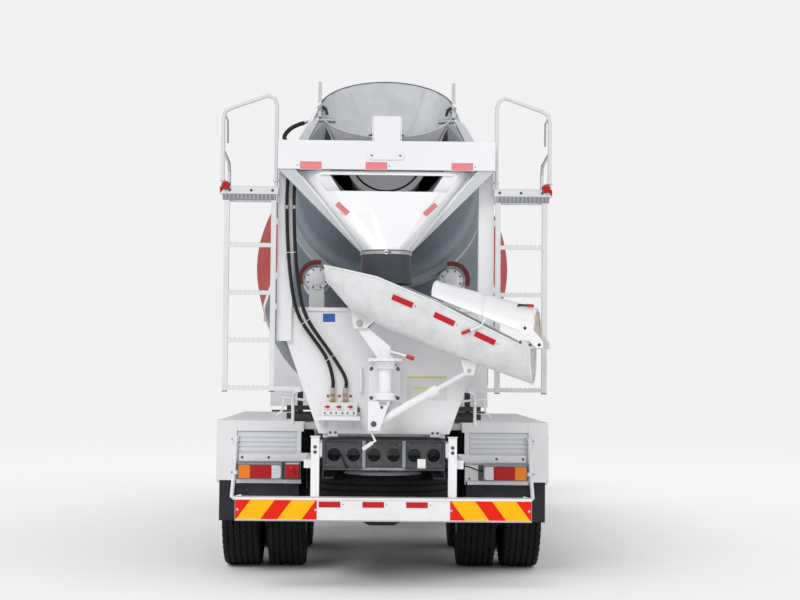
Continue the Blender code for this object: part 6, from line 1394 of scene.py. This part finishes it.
def cab_inside():
    wheel_grip = Piece("steering_wheel_grip", TRIM, DARK_STEEL)
    hub = Vector((-0.66, 3.9, 1.93))
    tilt = Vector((0, -0.45, 1.0))
    wheel_grip.lathe([(0.212 + 0.0172 * math.cos(angle), 0.0172 * math.sin(angle)) for angle in fan(14)],
                     hub, tilt, 64)
    wheel_grip.lathe([(0.0, 0.03), (0.05, 0.026), (0.072, 0.008), (0.074, -0.012), (0.0, -0.014)],
                     hub, tilt, 32)
    wheel_grip.rod(hub, (-0.66, 4.06, 1.71), 0.036, 0.052, 24)
    wheel_grip.done("cab_trim", body="cab")
    panel = Piece("dashboard_trim", DARK_PAINT, CLEAR_LENS, GALVANISED, AMBER_LENS)
    panel.prism([(-0.9, 4.05, 1.872), (-0.9, 4.14, 1.96), (-0.9, 4.19, 1.955), (-0.9, 4.19, 1.872)],
                (0.48, 0, 0))
    for x in (-0.78, -0.54):
        panel.rod((x, 4.1, 1.905), (x, 4.09, 1.915), 0.055, sides=32, mat=1)
    for x in (-0.68, -0.64):
        panel.rod((x, 4.075, 1.88), (x, 4.065, 1.89), 0.015, sides=20, mat=3)
    for x in (-0.25, 0.25, 0.7):
        panel.boxes((x - 0.08, x + 0.08, 4.05, 4.062, 1.82, 1.865))
        panel.slats(4, (0, 0, 0.01), x - 0.074, x + 0.074, 4.046, 4.052, 1.824, 1.828, 2)
    panel.boxes((-0.12, 0.12, 4.02, 4.04, 1.69, 1.79))
    for x in (-0.62, -0.5, -0.74):
        panel.prism([(x - 0.035, 3.98, 1.29), (x + 0.035, 3.98, 1.29), (x + 0.035, 4.01, 1.38),
                     (x - 0.035, 4.01, 1.38)], (0, 0.012, 0))
        panel.path([(x, 3.995, 1.33), (x, 4.04, 1.42), (x, 4.06, 1.53)], 0.008, 8)
    panel.done("cab_trim", 0.003, body="cab")


# CAD nodes: rounded edges and faces in other materials

def paint_faces(thing, material, test):
    """Give the faces that pass the test, by centre and normal in frame axes, a second material."""
    thing.data.materials.append(material)
    for polygon in thing.data.polygons:
        if test(thing.matrix_world @ polygon.center, thing.matrix_world.to_3x3() @ polygon.normal):
            polygon.material_index = len(thing.data.materials) - 1


def finish_nodes():
    # The outer strips of the discharge hopper's arms get a greyer paint: painted shade
    paint_faces(NODES["discharge_hopper"], SHADED_GREY,
                lambda centre, normal: normal.y < -0.9 and abs(centre.x) > 0.42 and centre.y < -3.965)
    for width, thing in listed(ROUNDED):
        thing.modifiers.new("weld", "WELD").merge_threshold = 0.00005
        soften(thing, width)
    paint_faces(NODES["front_bumper"], CLEAR_LENS, lambda centre, normal: centre.y > 4.514 and normal.y > 0.9)
    paint_faces(NODES["cab_shell"], DARK_PAINT, lambda centre, normal: (
        4.425 < centre.y < 4.4575 and abs(centre.x) < 0.645 and 1.19 < centre.z < 1.43))
    for hand in HANDS:
        for material, low, high in ((RED_LENS, 0, 0.99), (AMBER_LENS, 0.99, 2)):
            paint_faces(NODES[f"tail_lamp_{hand}"], material, lambda centre, normal: (
                centre.y < -3.042 and low < abs(centre.x) < high and normal.y < -0.9))
        paint_faces(NODES[f"ladder_{hand}"], RED_LENS, lambda centre, normal: (
            abs(centre.x) > 1.09 and abs(centre.z - 2.846) < 0.036 and centre.y < -3.879 and normal.y < -0.3))


for dress in (tail_lamps, mudguard_trim, crossmember_trim, tower_trim, side_stays, hose_fittings,
              valve_handles, beam_trim, hopper_trim, roller_trim, wheels, drum, rear_reflectors, chevrons,
              chute_trim, extension_trim, swivel_trim, jack_trim, ladder_trim, water_tank_trim,
              side_equipment, cab_front, cab_sides, seats, cab_inside, finish_nodes):
    dress()


# Light, floor and camera

FLOOR_TONE = 0.885
FLOOR_BASE = 0.96
LIGHT_LEVEL = 0.66
MIRRORED_LEVEL = 0.50
FADE_FROM, FADE_TO = 9.0, 22.0


def white_world():
    """Pale to the eye and through glass, greyer for what the surfaces mirror and for the light."""
    world = bpy.data.worlds.new("studio")
    SCENE.world = world
    world.use_nodes = True
    tree = world.node_tree
    tree.nodes.clear()
    path = tree.nodes.new("ShaderNodeLightPath")
    shown = None
    for rays, level in ((None, LIGHT_LEVEL), ("Is Glossy Ray", MIRRORED_LEVEL), ("Is Camera Ray", FLOOR_TONE),
                        ("Is Transmission Ray", FLOOR_TONE)):
        background = tree.nodes.new("ShaderNodeBackground")
        background.inputs["Color"].default_value = (level, level, level * 1.01, 1.0)
        if rays:
            mix = tree.nodes.new("ShaderNodeMixShader")
            for place, output in enumerate((path.outputs[rays], shown, background.outputs[0])):
                tree.links.new(output, mix.inputs[place])
        shown = mix.outputs[0] if rays else background.outputs[0]
    tree.links.new(shown, tree.nodes.new("ShaderNodeOutputWorld").inputs[0])


def floor():
    """A pale floor that keeps the shadow near the truck and fades into the backdrop."""
    bm = bmesh.new()
    bmesh.ops.create_circle(bm, cap_ends=True, segments=96, radius=220.0)
    mesh = bpy.data.meshes.new("floor")
    bm.to_mesh(mesh)
    bm.free()
    disc = bpy.data.objects.new("floor", mesh)
    SCENE.collection.objects.link(disc)
    shade = Shade("floor")
    for name, value in (("Base Color", (FLOOR_BASE,) * 3), ("Roughness", 0.9), ("Specular IOR Level", 0.0)):
        shade.put(shade.shader.inputs[name], value)
    distance = shade.node("VectorMath", "Value", {"operation": "LENGTH"}, (shade.coords,))
    glow = shade.node("Emission", Color=(FLOOR_TONE,) * 3)
    shown = shade.math("MULTIPLY", shade.span(distance, FADE_FROM, FADE_TO),
                       shade.node("LightPath", "Is Camera Ray"))
    mixed = shade.node("MixShader", inputs=(shown, shade.shader.outputs[0], glow))
    shade.put(shade.tree.nodes["Material Output"].inputs[0], mixed)
    mesh.materials.append(shade.material)


def sun(name, strength, angle, direction):
    data = bpy.data.lights.new(name, "SUN")
    data.energy = strength
    data.angle = math.radians(angle)
    lamp = bpy.data.objects.new(name, data)
    lamp.rotation_mode = "QUATERNION"
    lamp.rotation_quaternion = Vector(direction).to_track_quat("-Z", "Y")
    SCENE.collection.objects.link(lamp)


YAW, PITCH, ROLL = 0.01845, 0.04513, 0.00899
EYE = (-0.0994, -14.844, 1.557)


def camera():
    """The photograph's viewpoint: behind the truck at eye height, turned and rolled slightly."""
    data = bpy.data.cameras.new("camera")
    data.sensor_width = 36.0
    data.lens = 70.36
    data.clip_end = 500.0
    eye = bpy.data.objects.new("camera", data)
    forward = Vector((math.sin(YAW) * math.cos(PITCH), math.cos(YAW) * math.cos(PITCH), math.sin(PITCH)))
    right = Vector((math.cos(YAW), -math.sin(YAW), 0.0))
    up = right.cross(forward)
    turn = Matrix((right * math.cos(ROLL) + up * math.sin(ROLL), up * math.cos(ROLL) - right * math.sin(ROLL),
                   -forward)).transposed()
    eye.matrix_world = Matrix.Translation(EYE) @ turn.to_4x4()
    SCENE.collection.objects.link(eye)
    SCENE.camera = eye


white_world()
floor()
sun("key", 1.15, 25.0, (0.35, 0.80, -0.75))
sun("fill", 0.45, 60.0, (-0.55, 0.55, -0.45))
camera()
SCENE.view_settings.view_transform = "Standard"
